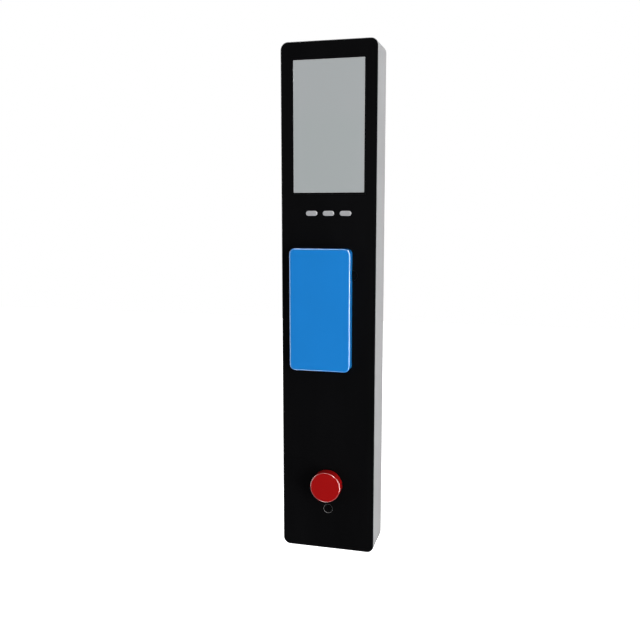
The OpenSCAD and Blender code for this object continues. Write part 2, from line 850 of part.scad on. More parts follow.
// Angle on the housing floor; the lock cam turns down behind its upright
module latch_keeper() {
    floor_z = -half_h + wall_t;
    color("gainsboro") difference() {
        union() {
            block([-keeper_w / 2, keeper_y, floor_z], [keeper_w / 2, keeper_y + keeper_t, keeper_top]);
            block([-keeper_w / 2, keeper_y, floor_z],
                  [keeper_w / 2, keeper_y + keeper_foot_d, floor_z + keeper_t]);
        }
        for (s = [-1, 1])
            bar_z(s * keeper_w / 4, keeper_y + (keeper_foot_d + 2 * keeper_t) / 2, keeper_hole_r,
                  floor_z - over, floor_z + 2 * keeper_t);
    }
}

module catch_magnet() {
    x = half_w - wall_t;
    pole_step = 6;
    pole_h = 6;
    pole_inset = 1;
    pole_gap = 0.5;
    color("dimgray") block([x - catch_w, catch_y, catch_z - catch_h / 2],
                           [x, catch_y + catch_d, catch_z + catch_h / 2]);
    color("silver") for (s = [-1, 1]) translate([0, 0, catch_z + s * pole_step])
        block([x - catch_w + pole_inset, y_rim + play, -pole_h / 2],
              [x - seal_w - pole_gap, catch_y + eps, pole_h / 2]);
}

// ---- Door ----------------------------------------------------------------------------------

// Body outline from y0 to y1, with the rear left edge rounded about the hinge axis
module door_solid(inset, y0, y1) {
    difference() {
        slab(y0, y1) rounded(body_w - 2 * inset, body_h - 2 * inset, corner_r - inset);
        difference() {
            block([-body_w, hinge_y, -body_h], [hinge_x, body_d, body_h]);
            bar_z(hinge_x, hinge_y, hinge_r - inset, -body_h - over, body_h + over);
        }
    }
}

// Frame ring with an inner flange behind the panel, notches for the hinge eyes and their ears
module door_frame() {
    ear_out = hinge_eye_h / 2 + play;
    color("silver") {
        difference() {
            union() {
                difference() {
                    door_solid(0, y_panel, y_frame);
                    door_solid(wall_t, y_panel + flange_t, y_frame + over);
                    slab(y_panel - over, y_frame)
                        rounded(body_w - 2 * flange_w, body_h - 2 * flange_w, 3);
                }
                for (z = hinge_zs, s = [-1, 1])
                    block([-half_w + wall_t - eps, y_panel + flange_t - eps,
                           z + (s > 0 ? ear_out : -ear_out - ear_t)],
                          [hinge_x + ear_w, hinge_y + eye_r,
                           z + (s > 0 ? ear_out + ear_t : -ear_out)]);
            }
            for (z = hinge_zs) {
                block([-body_w, hinge_y, z - ear_out], [hinge_x + eps, body_d, z + ear_out]);
                bar_z(hinge_x, hinge_y, hinge_pin_r, z - 2 * ear_out, z + 2 * ear_out);
            }
        }
    }
}

module hinge_pins() {
    reach = hinge_eye_h / 2 + play + ear_t;
    color("dimgray") for (z = hinge_zs) {
        bar_z(hinge_x, hinge_y, hinge_pin_r, z - reach, z + reach);
        bar_z(hinge_x, hinge_y, pin_head_r, z + reach, z + reach + pin_head_t);
    }
}

module front_panel() {
    color("black") difference() {
        slab(y_front, y_panel) rounded(body_w, body_h, corner_r);
        translate([0, 0, screen_z]) slab(y_front - over, y_panel + over)
            square([glass_w, glass_h], center = true);
        for (x = key_xs) translate([x, 0, key_z]) slab(y_front - over, y_panel + over)
            pill(key_w + 2 * key_gap, key_h + 2 * key_gap);
        bar_y(reader_x, reader_cable_z, reader_cable_r, y_front - over, y_panel + over);
        for (sx = [-1, 1], sz = [-1, 1])
            bar_y(reader_x + sx * reader_post_x, reader_z + sz * reader_post_z, screw_r,
                  y_front - over, y_panel + over);
        bar_y(sensor_x, sensor_z, sensor_r + barrel_gap, y_front - over, y_panel + over);
        bar_y(0, button_z, button_barrel_r + barrel_gap, y_front - over, y_panel + over);
        bar_y(0, lock_z, lock_r + barrel_gap, y_front - over, y_panel + over);
    }
}

// Welded studs: four for the display bracket, two for the key board
module stud(x, z, y1) {
    bar_y(x, z, stud_r, y_panel, y1);
    bar_y(x, z, stud_tip_r, y1, y1 + stud_tip_l);
}

module panel_studs() {
    color("silver") {
        for (sx = [-1, 1], sz = [-1, 1])
            stud(sx * bracket_stud_x, screen_z + sz * bracket_stud_z, lcd_back);
        for (s = [-1, 1]) stud(s * key_stud_x, key_z, key_board_front);
    }
}

module display_glass() {
    color("darkgray") translate([0, 0, screen_z]) slab(y_front, y_panel)
        square([glass_w - 2 * glass_gap, glass_h - 2 * glass_gap], center = true);
}

// Display panel: a metal tray with the bonded screen in front
module lcd_module() {
    screen_step = 1.5;
    screen_d = 0.5;
    tray_rim = 4;
    tray_d = 1;
    color("dimgray") translate([0, 0, screen_z]) difference() {
        slab(y_panel + lcd_gap, lcd_back) square([lcd_w, lcd_h], center = true);
        slab(lcd_back - tray_d, lcd_back + over)
            square([lcd_w - 2 * tray_rim, lcd_h - 2 * tray_rim], center = true);
        slab(y_panel, y_panel + lcd_gap + screen_d) difference() {
            square([lcd_w + 2 * over, lcd_h + 2 * over], center = true);
            square([screen_w + screen_step, screen_h + screen_step], center = true);
        }
    }
}

// Open cradle that clamps the display to the studs
module display_bracket() {
    windows_h = 40;
    rung_h = bracket_lip + 10;
    foot = bracket_stud_z + 5;
    color("gainsboro") translate([0, 0, screen_z]) slab(lcd_back, bracket_back) difference() {
        square([lcd_w, 2 * foot], center = true);
        for (i = [-1:1]) translate([0, i * (windows_h + rung_h)])
            square([lcd_w - 4 * bracket_lip, windows_h], center = true);
        for (sx = [-1, 1], sz = [-1, 1])
            translate([sx * bracket_stud_x, sz * bracket_stud_z]) circle(stud_tip_r);
        for (sx = [-1, 1], sz = [-1, 1])
            translate([sx * board_hole_x, sz * board_hole_z]) circle(stud_tip_r);
    }
}

module bracket_nuts() {
    color("silver") {
        for (sx = [-1, 1], sz = [-1, 1]) difference() {
            hex_y(sx * bracket_stud_x, screen_z + sz * bracket_stud_z, nut_r,
                  bracket_back, bracket_back + nut_t);
            bar_y(sx * bracket_stud_x, screen_z + sz * bracket_stud_z, stud_tip_r,
                  bracket_back - over, bracket_back + nut_t + over);
        }
        for (sx = [-1, 1], sz = [-1, 1])
            hex_y(sx * board_hole_x, screen_z + sz * board_hole_z, stud_r, bracket_back, board_front);
        for (s = [-1, 1]) difference() {
            hex_y(s * key_stud_x, key_z, nut_r, key_board_front + board_t,
                  key_board_front + board_t + nut_t);
            bar_y(s * key_stud_x, key_z, stud_tip_r, key_board_front,
                  key_board_front + board_t + nut_t + over);
        }
    }
}

// Main board with its heat sink, connectors and capacitors
module controller_board() {
    back = board_front + board_t;
    bottom = -board_h / 2;
    sink_half = 21;
    sink_low = -5;
    sink_high = 37;
    sink_base_t = 2.5;
    side_fins = 3;
    fin_pitch = 6;
    fin_w = 2.4;
    fin_d = 9;
    port_pitch = 32;
    port_w = 18;
    port_h = 12;
    port_d = 8;
    port_up = 4;
    can_x = 40;
    can_r = 5;
    can_d = 10;
    can_pitch = 15;
    can_low = -10;
    chip_x = [-50, -32];
    chip_z = [-30, 10];
    chip_t = 2;
    translate([0, 0, screen_z]) {
        color("darkgreen") block([-board_w / 2, board_front, bottom], [board_w / 2, back, board_h / 2]);
        color("dimgray") {
            block([-sink_half, back, sink_low], [sink_half, back + sink_base_t, sink_high]);
            for (i = [-side_fins:side_fins]) translate([i * fin_pitch, 0, 0])
                block([-fin_w / 2, back, sink_low], [fin_w / 2, back + fin_d, sink_high]);
            block([chip_x[0], back, chip_z[0]], [chip_x[1], back + chip_t, chip_z[1]]);
        }
        color("black") for (i = [-1:1]) translate([i * port_pitch, 0, bottom + port_up])
            block([-port_w / 2, back, 0], [port_w / 2, back + port_d, port_h]);
        color("slategray") for (i = [0:2])
            bar_y(can_x, can_low + i * can_pitch, can_r, back, back + can_d);
    }
}

module key_board() {
    back = key_board_front + board_t;
    port_w = 32;
    port_h = 8;
    port_d = 6;
    translate([0, 0, key_z]) {
        color("darkgreen") difference() {
            block([-key_board_w / 2, key_board_front, -key_board_h / 2],
                  [key_board_w / 2, back, key_board_h / 2]);
            for (s = [-1, 1])
                bar_y(s * key_stud_x, 0, stud_tip_r, key_board_front - over, back + over);
        }
        color("dimgray") for (x = key_xs)
            block([x - switch_w / 2, switch_front, -switch_w / 2],
                  [x + switch_w / 2, key_board_front, switch_w / 2]);
        color("ivory") block([-port_w / 2, back, -port_h / 2], [port_w / 2, back + port_d, port_h / 2]);
    }
}

// Soft key: pill cap, hidden flange and stem
module soft_key(x) {
    flange_y = y_panel + play;
    color("silver") {
        translate([x, 0, key_z]) {
            slab(y_front - key_proud, flange_y + eps) pill(key_w, key_h);
            slab(flange_y, flange_y + key_flange_t)
                pill(key_w + 2 * key_flange, key_h + 2 * key_flange);
        }
        bar_y(x, key_z, key_stem_r, flange_y + key_flange_t - eps,
              flange_y + key_flange_t + key_stem_l);
    }
}

module key_left() { soft_key(key_xs[0]); }
module key_middle() { soft_key(key_xs[1]); }
module key_right() { soft_key(key_xs[2]); }

// ---- Card reader on the panel --------------------------------------------------------------

module reader_place() { translate([reader_x, 0, reader_z]) children(); }

// Outline of width w from the face back to the panel, with its two front corners rounded
module face_profile(w, face) {
    e = reader_edge_r;
    translate([-w / 2, face + e]) square([w, y_front - face - e]);
    translate([-w / 2 + e, face]) square([w - 2 * e, y_front - face]);
    for (s = [-1, 1]) translate([s * (w / 2 - e), face + e]) circle(e);
}

// Block with round corners whose front edges are rounded along both directions
module reader_block(face) {
    intersection() {
        slab(face, y_front) rounded(reader_w, reader_h, reader_corner_r);
        translate([0, 0, -reader_h]) linear_extrude(2 * reader_h) face_profile(reader_w, face);
        translate([reader_w, 0, 0]) rotate([0, -90, 0]) linear_extrude(2 * reader_w)
            face_profile(reader_h, face);
    }
}

module reader_cover() {
    inner_r = reader_corner_r - reader_wall_t;
    color("dodgerblue") difference() {
        reader_place() difference() {
            reader_block(y_front - reader_d);
            slab(y_front - reader_d + reader_wall_t + 0.5, y_front + over)
                rounded(reader_w - 2 * reader_wall_t, reader_h - 2 * reader_wall_t, inner_r);
        }
        bar_y(sensor_x, sensor_z, sensor_r + sensor_relief, y_front - sensor_proud - sensor_relief,
              y_front + over);
    }
}

module reader_base() {
    slim = reader_wall_t + reader_gap;
    color("dimgray") difference() {
        reader_place() {
            slab(y_front - reader_base_t, y_front)
                rounded(reader_w - 2 * slim, reader_h - 2 * slim, reader_corner_r - slim);
            for (sx = [-1, 1], sz = [-1, 1])
                bar_y(sx * reader_post_x, sz * reader_post_z, reader_post_r,
                      y_front - reader_base_t - reader_board_stand, y_front - reader_base_t + eps);
        }
        for (sx = [-1, 1], sz = [-1, 1])
            bar_y(reader_x + sx * reader_post_x, reader_z + sz * reader_post_z, screw_r,
                  y_front - body_d, y_front + over);
        bar_y(reader_x, reader_cable_z, reader_cable_r, y_front - 2 * reader_base_t, y_front + over);
        bar_y(sensor_x, sensor_z, sensor_r + sensor_relief, y_front - 2 * reader_base_t,
              y_front + over);
    }
}

// Antenna board with a flat coil track in front
module reader_board() {
    back = y_front - reader_base_t - reader_board_stand;
    front = back - reader_board_t;
    edge_gap = 3;
    w = reader_w - 2 * (reader_wall_t + edge_gap);
    h = reader_h - 2 * (reader_wall_t + edge_gap);
    board_corner_r = 4;
    coil_x = 32;
    coil_z = 40;
    coil_step = 6;
    coil_r = 6;
    track_w = 1.2;
    track_t = 0.4;
    color("darkgreen") difference() {
        reader_place() slab(front, back) rounded(w, h, board_corner_r);
        for (sx = [-1, 1], sz = [-1, 1])
            bar_y(reader_x + sx * reader_post_x, reader_z + sz * reader_post_z, screw_r,
                  front - over, back + over);
    }
    color("darkorange") reader_place() for (i = [0:2]) {
        turn_w = w - coil_x - coil_step * i;
        turn_h = h - coil_z - coil_step * i;
        slab(front - track_t, front) difference() {
            rounded(turn_w, turn_h, coil_r);
            rounded(turn_w - 2 * track_w, turn_h - 2 * track_w, coil_r - track_w);
        }
    }
}

// Screws through the antenna board and the base into the front panel
module reader_screws() {
    y1 = y_front - reader_base_t - reader_board_stand - reader_board_t;
    color("silver") for (sx = [-1, 1], sz = [-1, 1])
        screw_y(reader_x + sx * reader_post_x, reader_z + sz * reader_post_z, y1,
                y_panel - y1 + 1);
}

// ---- Presence sensor -----------------------------------------------------------------------

module sensor_barrel() {
    front = y_front - sensor_proud;
    color("dimgray") difference() {
        union() {
            bar_y(sensor_x, sensor_z, sensor_r, front, y_front + sensor_l);
            bar_y(sensor_x, sensor_z, sensor_tail_r, y_front + sensor_l - eps,
                  y_front + sensor_l + sensor_tail_l);
        }
        bar_y(sensor_x, sensor_z, sensor_r - lens_rim, front - over, front + lens_t);
    }
}

module sensor_lens() {
    front = y_front - sensor_proud;
    color("black") bar_y(sensor_x, sensor_z, sensor_r - lens_rim, front + lens_sunk, front + lens_t);
}

module sensor_nut() {
    color("silver") difference() {
        hex_y(sensor_x, sensor_z, sensor_nut_r, y_panel, y_panel + sensor_nut_t);
        bar_y(sensor_x, sensor_z, sensor_r, y_panel - over, y_panel + sensor_nut_t + over);
    }
}

// ---- Push button ---------------------------------------------------------------------------

module button_place() { translate([0, 0, button_z]) children(); }

// Threaded barrel with its front flange, the spring well and the stem's guide
module button_body() {
    color("dimgray") button_place() difference() {
        union() {
            bar_y(0, 0, button_flange_r, y_front - button_flange_t, y_front);
            bar_y(0, 0, button_barrel_r, y_front - eps, button_barrel_back);
        }
        bar_y(0, 0, button_stem_r + fit, y_front - 2 * button_flange_t, button_barrel_back + over);
        bar_y(0, 0, spring_well_r, y_front - 2 * button_flange_t, spring_back);
    }
}

module button_nut() {
    color("silver") button_place() difference() {
        hex_y(0, 0, button_nut_r, y_panel, y_panel + button_nut_t);
        bar_y(0, 0, button_barrel_r, y_panel - over, y_panel + button_nut_t + over);
    }
}

module button_contacts() {
    back = button_barrel_back + contact_d;
    tab_x = 9;
    tab_w = 7;
    tab_h = 16;
    tab_d = 3;
    color("whitesmoke") button_place() {
        block([-contact_w / 2, button_barrel_back, -contact_h / 2], [contact_w / 2, back, contact_h / 2]);
        for (s = [-1, 1]) translate([s * tab_x, back, 0])
            block([-tab_w / 2, -eps, -tab_h / 2], [tab_w / 2, tab_d, tab_h / 2]);
    }
}

// Helical return spring, drawn at its rest length
module button_spring() {
    steps = spring_turns * spring_steps;
    end_gap = 0.1;
    y0 = spring_front + spring_wire_r + end_gap;
    y1 = spring_back - spring_wire_r - end_gap;
    color("silver") button_place() sweep([for (i = [0:steps])
        [spring_coil_r * cos(360 * i / spring_steps), y0 + (y1 - y0) * i / steps,
         spring_coil_r * sin(360 * i / spring_steps)]], spring_wire_r, 6);
}

// Cap turned in one piece: profile in radius and depth, with a rounded front edge
module button_cap() {
    h = button_cap_h;
    e = button_edge_r;
    color("firebrick") button_place() translate([0, button_skirt, 0]) rotate([90, 0, 0])
        difference() {
            union() {
                rotate_extrude() union() {
                    square([button_r - e, h]);
                    square([button_r, h - e]);
                    translate([button_r - e, h - e]) intersection() {
                        circle(e);
                        square(e);
                    }
                }
                translate([0, 0, button_skirt - button_stem_back])
                    cylinder(r = button_stem_r, h = button_stem_back - button_skirt + h - e);
            }
            difference() {
                translate([0, 0, -over])
                    cylinder(r = button_r - button_cap_t, h = h - button_cap_t + over);
                translate([0, 0, -2 * over]) cylinder(r = button_stem_r, h = h + 2 * over);
            }
        }
}

// ---- Lock ----------------------------------------------------------------------------------

module lock_place() { translate([0, 0, lock_z]) children(); }

module lock_barrel() {
    color("dimgray") lock_place() difference() {
        union() {
            bar_y(0, 0, lock_r, lock_face, lock_barrel_back);
            bar_y(0, 0, lock_flange_r, y_panel, y_panel + lock_flange_t);
        }
        bar_y(0, 0, lock_plug_r + fit, lock_face - over, lock_barrel_back + over);
    }
}

module lock_nut() {
    color("silver") lock_place() difference() {
        hex_y(0, 0, lock_nut_r, lock_nut_y, lock_nut_y + lock_nut_t);
        bar_y(0, 0, lock_r, lock_nut_y - over, lock_nut_y + lock_nut_t + over);
    }
}

module lock_plug() {
    color("gray") lock_place() difference() {
        union() {
            bar_y(0, 0, lock_plug_r, lock_face + plug_sunk, cam_y);
            bar_y(0, 0, cam_screw_r, cam_y + cam_t, cam_y + cam_t + cam_screw_t);
            bar_y(0, 0, cam_bore_r, cam_y - eps, cam_y + cam_t + eps);
        }
        block([-key_slot_w / 2, y_front, -key_slot_l / 2],
              [key_slot_w / 2, lock_face + key_slot_d, key_slot_l / 2]);
    }
}

// Cam that lies to the left when unlocked
module lock_cam() {
    color("silver") lock_place() difference() {
        union() {
            bar_y(0, 0, cam_boss_r, cam_y, cam_y + cam_t);
            block([-cam_l, cam_y, -cam_w / 2], [0, cam_y + cam_t, cam_w / 2]);
        }
        bar_y(0, 0, cam_bore_r, cam_y - over, cam_y + cam_t + over);
    }
}

// Steel striker on the door frame for the magnet
module catch_plate() {
    x = half_w - wall_t;
    color("silver") {
        block([x - catch_w, y_frame - catch_plate_t, catch_z - catch_h / 2],
              [x, y_frame, catch_z + catch_h / 2]);
        block([x - catch_web_t, y_panel + flange_t, catch_z - catch_h / 2],
              [x, y_frame, catch_z + catch_h / 2]);
    }
}

housing_shell();
back_plate();
hinge_lugs();
hinge_screws();
door_seal();
power_supply();
terminal_block();
earth_stud();
cable_grommet();
modem();
power_loom();
roll_bracket();
roll_spindle();
paper_roll();
roll_core();
printer_chassis();
printer_screws();
print_head();
head_spring();
platen_roller();
platen_gear();
printer_motor();
motor_pinion();
cutter_body();
cutter_blade();
chute_channel();
chute_cover();
outlet_bezel();
latch_keeper();
catch_magnet();
door_frame();
hinge_pins();
front_panel();
panel_studs();
display_glass();
lcd_module();
display_bracket();
bracket_nuts();
controller_board();
key_board();
key_left();
key_middle();
key_right();
reader_base();
reader_cover();
reader_board();
reader_screws();
sensor_barrel();
sensor_lens();
sensor_nut();
button_body();
button_nut();
button_contacts();
button_spring();
button_cap();
lock_barrel();
lock_nut();
lock_plug();
lock_cam();
catch_plate();
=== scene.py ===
"""Looks of the slim ticket vending machine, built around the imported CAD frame."""
import json
import math

import bmesh
import bpy
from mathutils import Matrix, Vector
from mathutils.geometry import tessellate_polygon


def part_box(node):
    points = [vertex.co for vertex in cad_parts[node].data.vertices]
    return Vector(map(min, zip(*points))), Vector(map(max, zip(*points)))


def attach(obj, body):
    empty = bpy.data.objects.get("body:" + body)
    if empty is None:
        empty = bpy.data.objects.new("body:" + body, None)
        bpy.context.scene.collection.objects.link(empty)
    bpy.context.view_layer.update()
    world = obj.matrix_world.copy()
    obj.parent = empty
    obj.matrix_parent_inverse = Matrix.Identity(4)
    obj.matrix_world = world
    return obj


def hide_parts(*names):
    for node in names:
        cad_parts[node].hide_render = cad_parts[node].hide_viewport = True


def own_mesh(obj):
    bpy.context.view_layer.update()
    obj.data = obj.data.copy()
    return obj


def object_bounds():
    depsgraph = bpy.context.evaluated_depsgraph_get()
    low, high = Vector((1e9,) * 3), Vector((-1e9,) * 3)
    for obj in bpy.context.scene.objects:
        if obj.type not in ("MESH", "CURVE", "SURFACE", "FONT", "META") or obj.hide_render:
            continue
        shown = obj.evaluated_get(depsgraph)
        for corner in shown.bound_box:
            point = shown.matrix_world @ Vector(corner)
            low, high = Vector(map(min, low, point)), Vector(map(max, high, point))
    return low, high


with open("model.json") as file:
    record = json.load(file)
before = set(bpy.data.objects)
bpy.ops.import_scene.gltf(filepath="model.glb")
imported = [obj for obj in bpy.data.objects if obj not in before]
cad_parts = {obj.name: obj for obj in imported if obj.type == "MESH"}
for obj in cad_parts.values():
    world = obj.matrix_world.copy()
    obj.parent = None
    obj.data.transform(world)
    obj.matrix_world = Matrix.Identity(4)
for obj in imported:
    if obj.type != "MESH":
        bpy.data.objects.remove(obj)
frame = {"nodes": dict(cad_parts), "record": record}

CAD_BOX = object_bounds()
MM = 0.001
NODES = frame["nodes"]
SLOTS = {part["node"]: part["material_slot"] for part in frame["record"]["subparts"]}
BODY_OF = {node: body for body, nodes in frame["record"]["behaviour"]["bodies"].items()
           for node in nodes}


# ---- Camera, lights and floor --------------------------------------------------------------

def add_object(name, data):
    thing = bpy.data.objects.new(name, data)
    bpy.context.scene.collection.objects.link(thing)
    return thing


def place_camera():
    """Camera in front of the machine, to its right and above it, looking a little down."""
    data = bpy.data.cameras.new("camera")
    data.sensor_width = 36
    data.angle = math.radians(45)
    camera = add_object("camera", data)
    camera.location = (0.3341, -1.3794, 0.1653)
    yaw = 0.2612
    pitch = -0.1407
    camera.rotation_euler = (math.pi / 2 + pitch, 0, yaw)
    bpy.context.scene.camera = camera


def area_light(name, place, target, size, power, colour=(1, 1, 1)):
    data = bpy.data.lights.new(name, "AREA")
    data.shape = "RECTANGLE"
    data.size, data.size_y = size
    data.energy = power
    data.color = colour
    light = add_object(name, data)
    light.location = place
    light.rotation_euler = (Vector(target) - Vector(place)).to_track_quat("-Z", "Y").to_euler()
    return light


def strip_light(name, place, size, radiance):
    """Softbox that shows only in gloss, as the thin bright line along a rounded edge."""
    light = area_light(name, place, (0, -0.07, 0), size, radiance * math.pi * size[0] * size[1])
    light.visible_diffuse = False


def surround_studio():
    """White backdrop, even soft fill, and a wrap-round bright surround seen only in gloss.

    What a front face mirrors, towards -Y, stays dark, and rounded edges pick up the surround.
    """
    world = bpy.data.worlds.new("studio")
    bpy.context.scene.world = world
    world.use_nodes = True
    nodes = world.node_tree.nodes
    link = world.node_tree.links.new
    nodes.clear()

    def background(colour, strength):
        node = nodes.new("ShaderNodeBackground")
        node.inputs["Color"].default_value = (*colour, 1)
        node.inputs["Strength"].default_value = strength
        return node

    def mixed(factor, one, two):
        node = nodes.new("ShaderNodeMixShader")
        for socket, source in zip(node.inputs, (factor, one.outputs[0], two.outputs[0])):
            link(source, socket)
        return node

    axes = nodes.new("ShaderNodeSeparateXYZ")
    link(nodes.new("ShaderNodeTexCoord").outputs["Generated"], axes.inputs[0])
    shift = nodes.new("ShaderNodeMath")
    shift.operation = "MULTIPLY_ADD"        # from -1 .. 1 to 0 .. 1
    shift.inputs[1].default_value = 0.5
    shift.inputs[2].default_value = 0.5
    link(axes.outputs["Y"], shift.inputs[0])
    ramp = nodes.new("ShaderNodeValToRGB")
    link(shift.outputs[0], ramp.inputs[0])
    stops = ((0.0, 0.01), (0.12, 0.02), (0.24, 0.8), (0.5, 1.0), (0.72, 0.6), (1.0, 0.4))
    elements = ramp.color_ramp.elements
    while len(elements) < len(stops):
        elements.new(0.5)
    for element, (at, level) in zip(elements, stops):
        element.position = at
        element.color = (level, level, level, 1)
    surround = background((1, 1, 1), 1)
    link(ramp.outputs[0], surround.inputs["Color"])
    ray = nodes.new("ShaderNodeLightPath").outputs
    for_objects = mixed(ray["Is Glossy Ray"], background((0.97, 0.98, 1), 0.5), surround)
    everything = mixed(ray["Is Camera Ray"], for_objects, background((1, 1, 1), 1))
    link(everything.outputs[0], nodes.new("ShaderNodeOutputWorld").inputs[0])


def light_studio():
    """Soft boxes round the machine, by place, target, size and power."""
    key = area_light("key", (2.2, -1.5, -0.1), (0, 0, -0.05), (1.0, 1.8), 44)
    key.visible_glossy = False
    area_light("top", (0.5, -0.9, 2.3), (0, 0, 0.1), (1.2, 0.8), 9)
    area_light("low_right", (1.9, -0.6, -1.2), (0, 0, -0.3), (0.8, 0.8), 26)
    area_light("left_fill", (-1.9, -1.2, 0.1), (0, 0, 0), (0.7, 1.8), 9, (0.95, 0.97, 1))
    strip_light("right_strip", (2.0, 0.1, 0.0), (0.6, 2.2), 24)
    strip_light("corner_strip", (1.3, -0.35, 1.5), (0.6, 0.6), 60)
    strip_light("top_strip", (-0.3, 0.2, 2.0), (1.6, 0.5), 12)
    strip_light("left_strip", (-2.0, 0.25, -0.2), (0.4, 2.0), 6)
    strip_light("bottom_strip", (-0.3, 0.25, -2.2), (1.6, 0.5), 8)
    area_light("rear_fill", (-0.8, 2.2, 0.8), (0, 0, 0), (1.4, 1.4), 16)


def place_floor():
    """Plain pale floor well below the machine, which hangs at standing height."""
    drop = 0.9
    half = 9
    z = CAD_BOX[0][2] - drop
    mesh = bpy.data.meshes.new("floor")
    mesh.from_pydata([(-half, -half, z), (half, -half, z), (half, half, z), (-half, half, z)],
                     [], [(0, 1, 2, 3)])
    material = bpy.data.materials.new("floor_white")
    material.use_nodes = True
    shader = material.node_tree.nodes["Principled BSDF"]
    shader.inputs["Base Color"].default_value = (1, 1, 1, 1)
    shader.inputs["Emission Color"].default_value = (1, 1, 1, 1)
    shader.inputs["Emission Strength"].default_value = 1
    mesh.materials.append(material)
    floor = add_object("floor", mesh)
    floor.visible_glossy = False
    floor.visible_diffuse = False


# ---- Material tools ------------------------------------------------------------------------

class Shader:
    """A Principled material with short helpers for its procedural nodes."""

    def __init__(self, name, base, rough=0.5, metal=0.0, specular=0.5):
        self.material = bpy.data.materials.new(name)
        self.material.use_nodes = True
        self.tree = self.material.node_tree
        self.surface({"Base Color": base, "Roughness": rough, "Metallic": metal,
                      "Specular IOR Level": specular})
        self.place = self.node("ShaderNodeTexCoord", {}, "Object")

    def feed(self, node, inputs):
        """Sets each input to a value, or links it to another node's socket."""
        for name, value in inputs.items():
            socket = node.inputs[name]
            if isinstance(value, bpy.types.NodeSocket):
                self.tree.links.new(value, socket)
            elif socket.type == "RGBA":
                socket.default_value = (*value, 1)
            else:
                socket.default_value = value

    def surface(self, inputs):
        self.feed(self.tree.nodes["Principled BSDF"], inputs)

    def node(self, kind, inputs, output=0, **settings):
        """Output of a new node with these inputs and settings."""
        node = self.tree.nodes.new(kind)
        for key, value in settings.items():
            setattr(node, key, value)
        self.feed(node, inputs)
        return node.outputs[output]

    def axes(self):
        return self.node("ShaderNodeSeparateXYZ", {0: self.place}).node.outputs

    def stretch(self, scale):
        """Object coordinates scaled along each axis."""
        return self.node("ShaderNodeMapping", {"Vector": self.place, "Scale": scale})

    def noise(self, scale, detail=4, rough=0.55, vector=None):
        return self.node("ShaderNodeTexNoise", {"Vector": vector or self.place, "Scale": scale,
                                                "Detail": detail, "Roughness": rough}, "Fac")

    def ramp(self, value, low, high, at):
        """Colour ramp from low to high between two positions."""
        output = self.node("ShaderNodeValToRGB", {0: value})
        for element, place, tone in zip(output.node.color_ramp.elements, at, (low, high)):
            element.position = place
            element.color = (*tone, 1)
        return output

    def remap(self, value, low, high, at):
        return self.node("ShaderNodeMapRange", {"Value": value, "From Min": at[0], "From Max": at[1],
                                                "To Min": low, "To Max": high})

    def mix(self, factor, a, b):
        """Mix of two colours, each a socket or three numbers."""
        return self.node("ShaderNodeMix", {0: factor, 6: a, 7: b}, 2, data_type="RGBA")

    def maths(self, operation, a, b=0.0):
        return self.node("ShaderNodeMath", {0: a, 1: b}, operation=operation)

    def waves(self, value, pitch):
        """Sine of a length, with one wave in each pitch."""
        return self.maths("SINE", self.maths("MULTIPLY", value, 2 * math.pi / pitch))

    def colour(self, source):
        self.surface({"Base Color": source})

    def roughness(self, source):
        self.surface({"Roughness": source})

    def bump(self, height, strength, distance=0.0001):
        self.surface({"Normal": self.node("ShaderNodeBump", {"Height": height, "Strength": strength,
                                                             "Distance": distance})})


# ---- Materials -----------------------------------------------------------------------------

def housing_metal():
    """Silver powder-coated aluminium: fine flake, soft grain and slight cloudiness."""
    s = Shader("housing_metal", (0.35, 0.35, 0.355), rough=0.5, metal=0.1, specular=0.15)
    cloud = s.noise(6, 3)
    flake = s.noise(2600, 2, 0.7)
    tone = s.ramp(cloud, (0.3, 0.3, 0.303), (0.33, 0.33, 0.333), (0.3, 0.7))
    s.colour(s.mix(s.remap(flake, 0, 0.25, (0.55, 0.75)), tone, (0.55, 0.55, 0.56)))
    s.roughness(s.remap(cloud, 0.42, 0.56, (0.3, 0.7)))
    s.bump(flake, 0.08, 0.0002)
    return s.material


def black_panel():
    """Satin black coated panel: fine orange peel, a few faint wipe marks."""
    s = Shader("black_panel", (0.0036, 0.0036, 0.0039), rough=0.34, specular=0.015)
    wipe = s.noise(9, 5, 0.6, s.stretch((1, 1, 0.25)))
    s.colour(s.ramp(wipe, (0.0033, 0.0033, 0.0036), (0.0043, 0.0043, 0.0047), (0.35, 0.7)))
    s.roughness(s.remap(wipe, 0.28, 0.4, (0.3, 0.75)))
    s.bump(s.noise(900, 2, 0.5), 0.06)
    return s.material


def screen_glass():
    """Display glass over a pale, idle screen: faint pixel rows and slow shifts of grey."""
    s = Shader("screen_glass", (0.2, 0.212, 0.212), rough=0.16, specular=0.04)
    pixel = 0.35 * MM
    x, _, z = s.axes()
    pixels = s.remap(s.maths("MULTIPLY", s.waves(z, pixel), s.waves(x, pixel)), 0, 0.06, (-1, 1))
    tone = s.ramp(s.noise(5, 2), (0.192, 0.208, 0.206), (0.208, 0.212, 0.216), (0.35, 0.65))
    s.colour(s.mix(pixels, tone, (0.11, 0.115, 0.12)))
    s.surface({"Emission Color": (0.93, 0.985, 1), "Emission Strength": 0.2})
    s.roughness(s.remap(s.noise(30, 4), 0.12, 0.22, (0.35, 0.7)))
    return s.material


def key_metal():
    """Satin silver soft keys with a fine horizontal brush."""
    s = Shader("key_metal", (0.5, 0.5, 0.51), rough=0.3, metal=0.35, specular=0.8)
    brush = s.noise(400, 3, 0.6, s.stretch((1, 8, 14)))
    s.colour(s.ramp(brush, (0.48, 0.48, 0.49), (0.6, 0.6, 0.61), (0.3, 0.7)))
    s.roughness(s.remap(brush, 0.3, 0.46, (0.3, 0.7)))
    s.bump(brush, 0.1)
    return s.material


def shade(colour, factor):
    return tuple(min(1, channel * factor) for channel in colour)


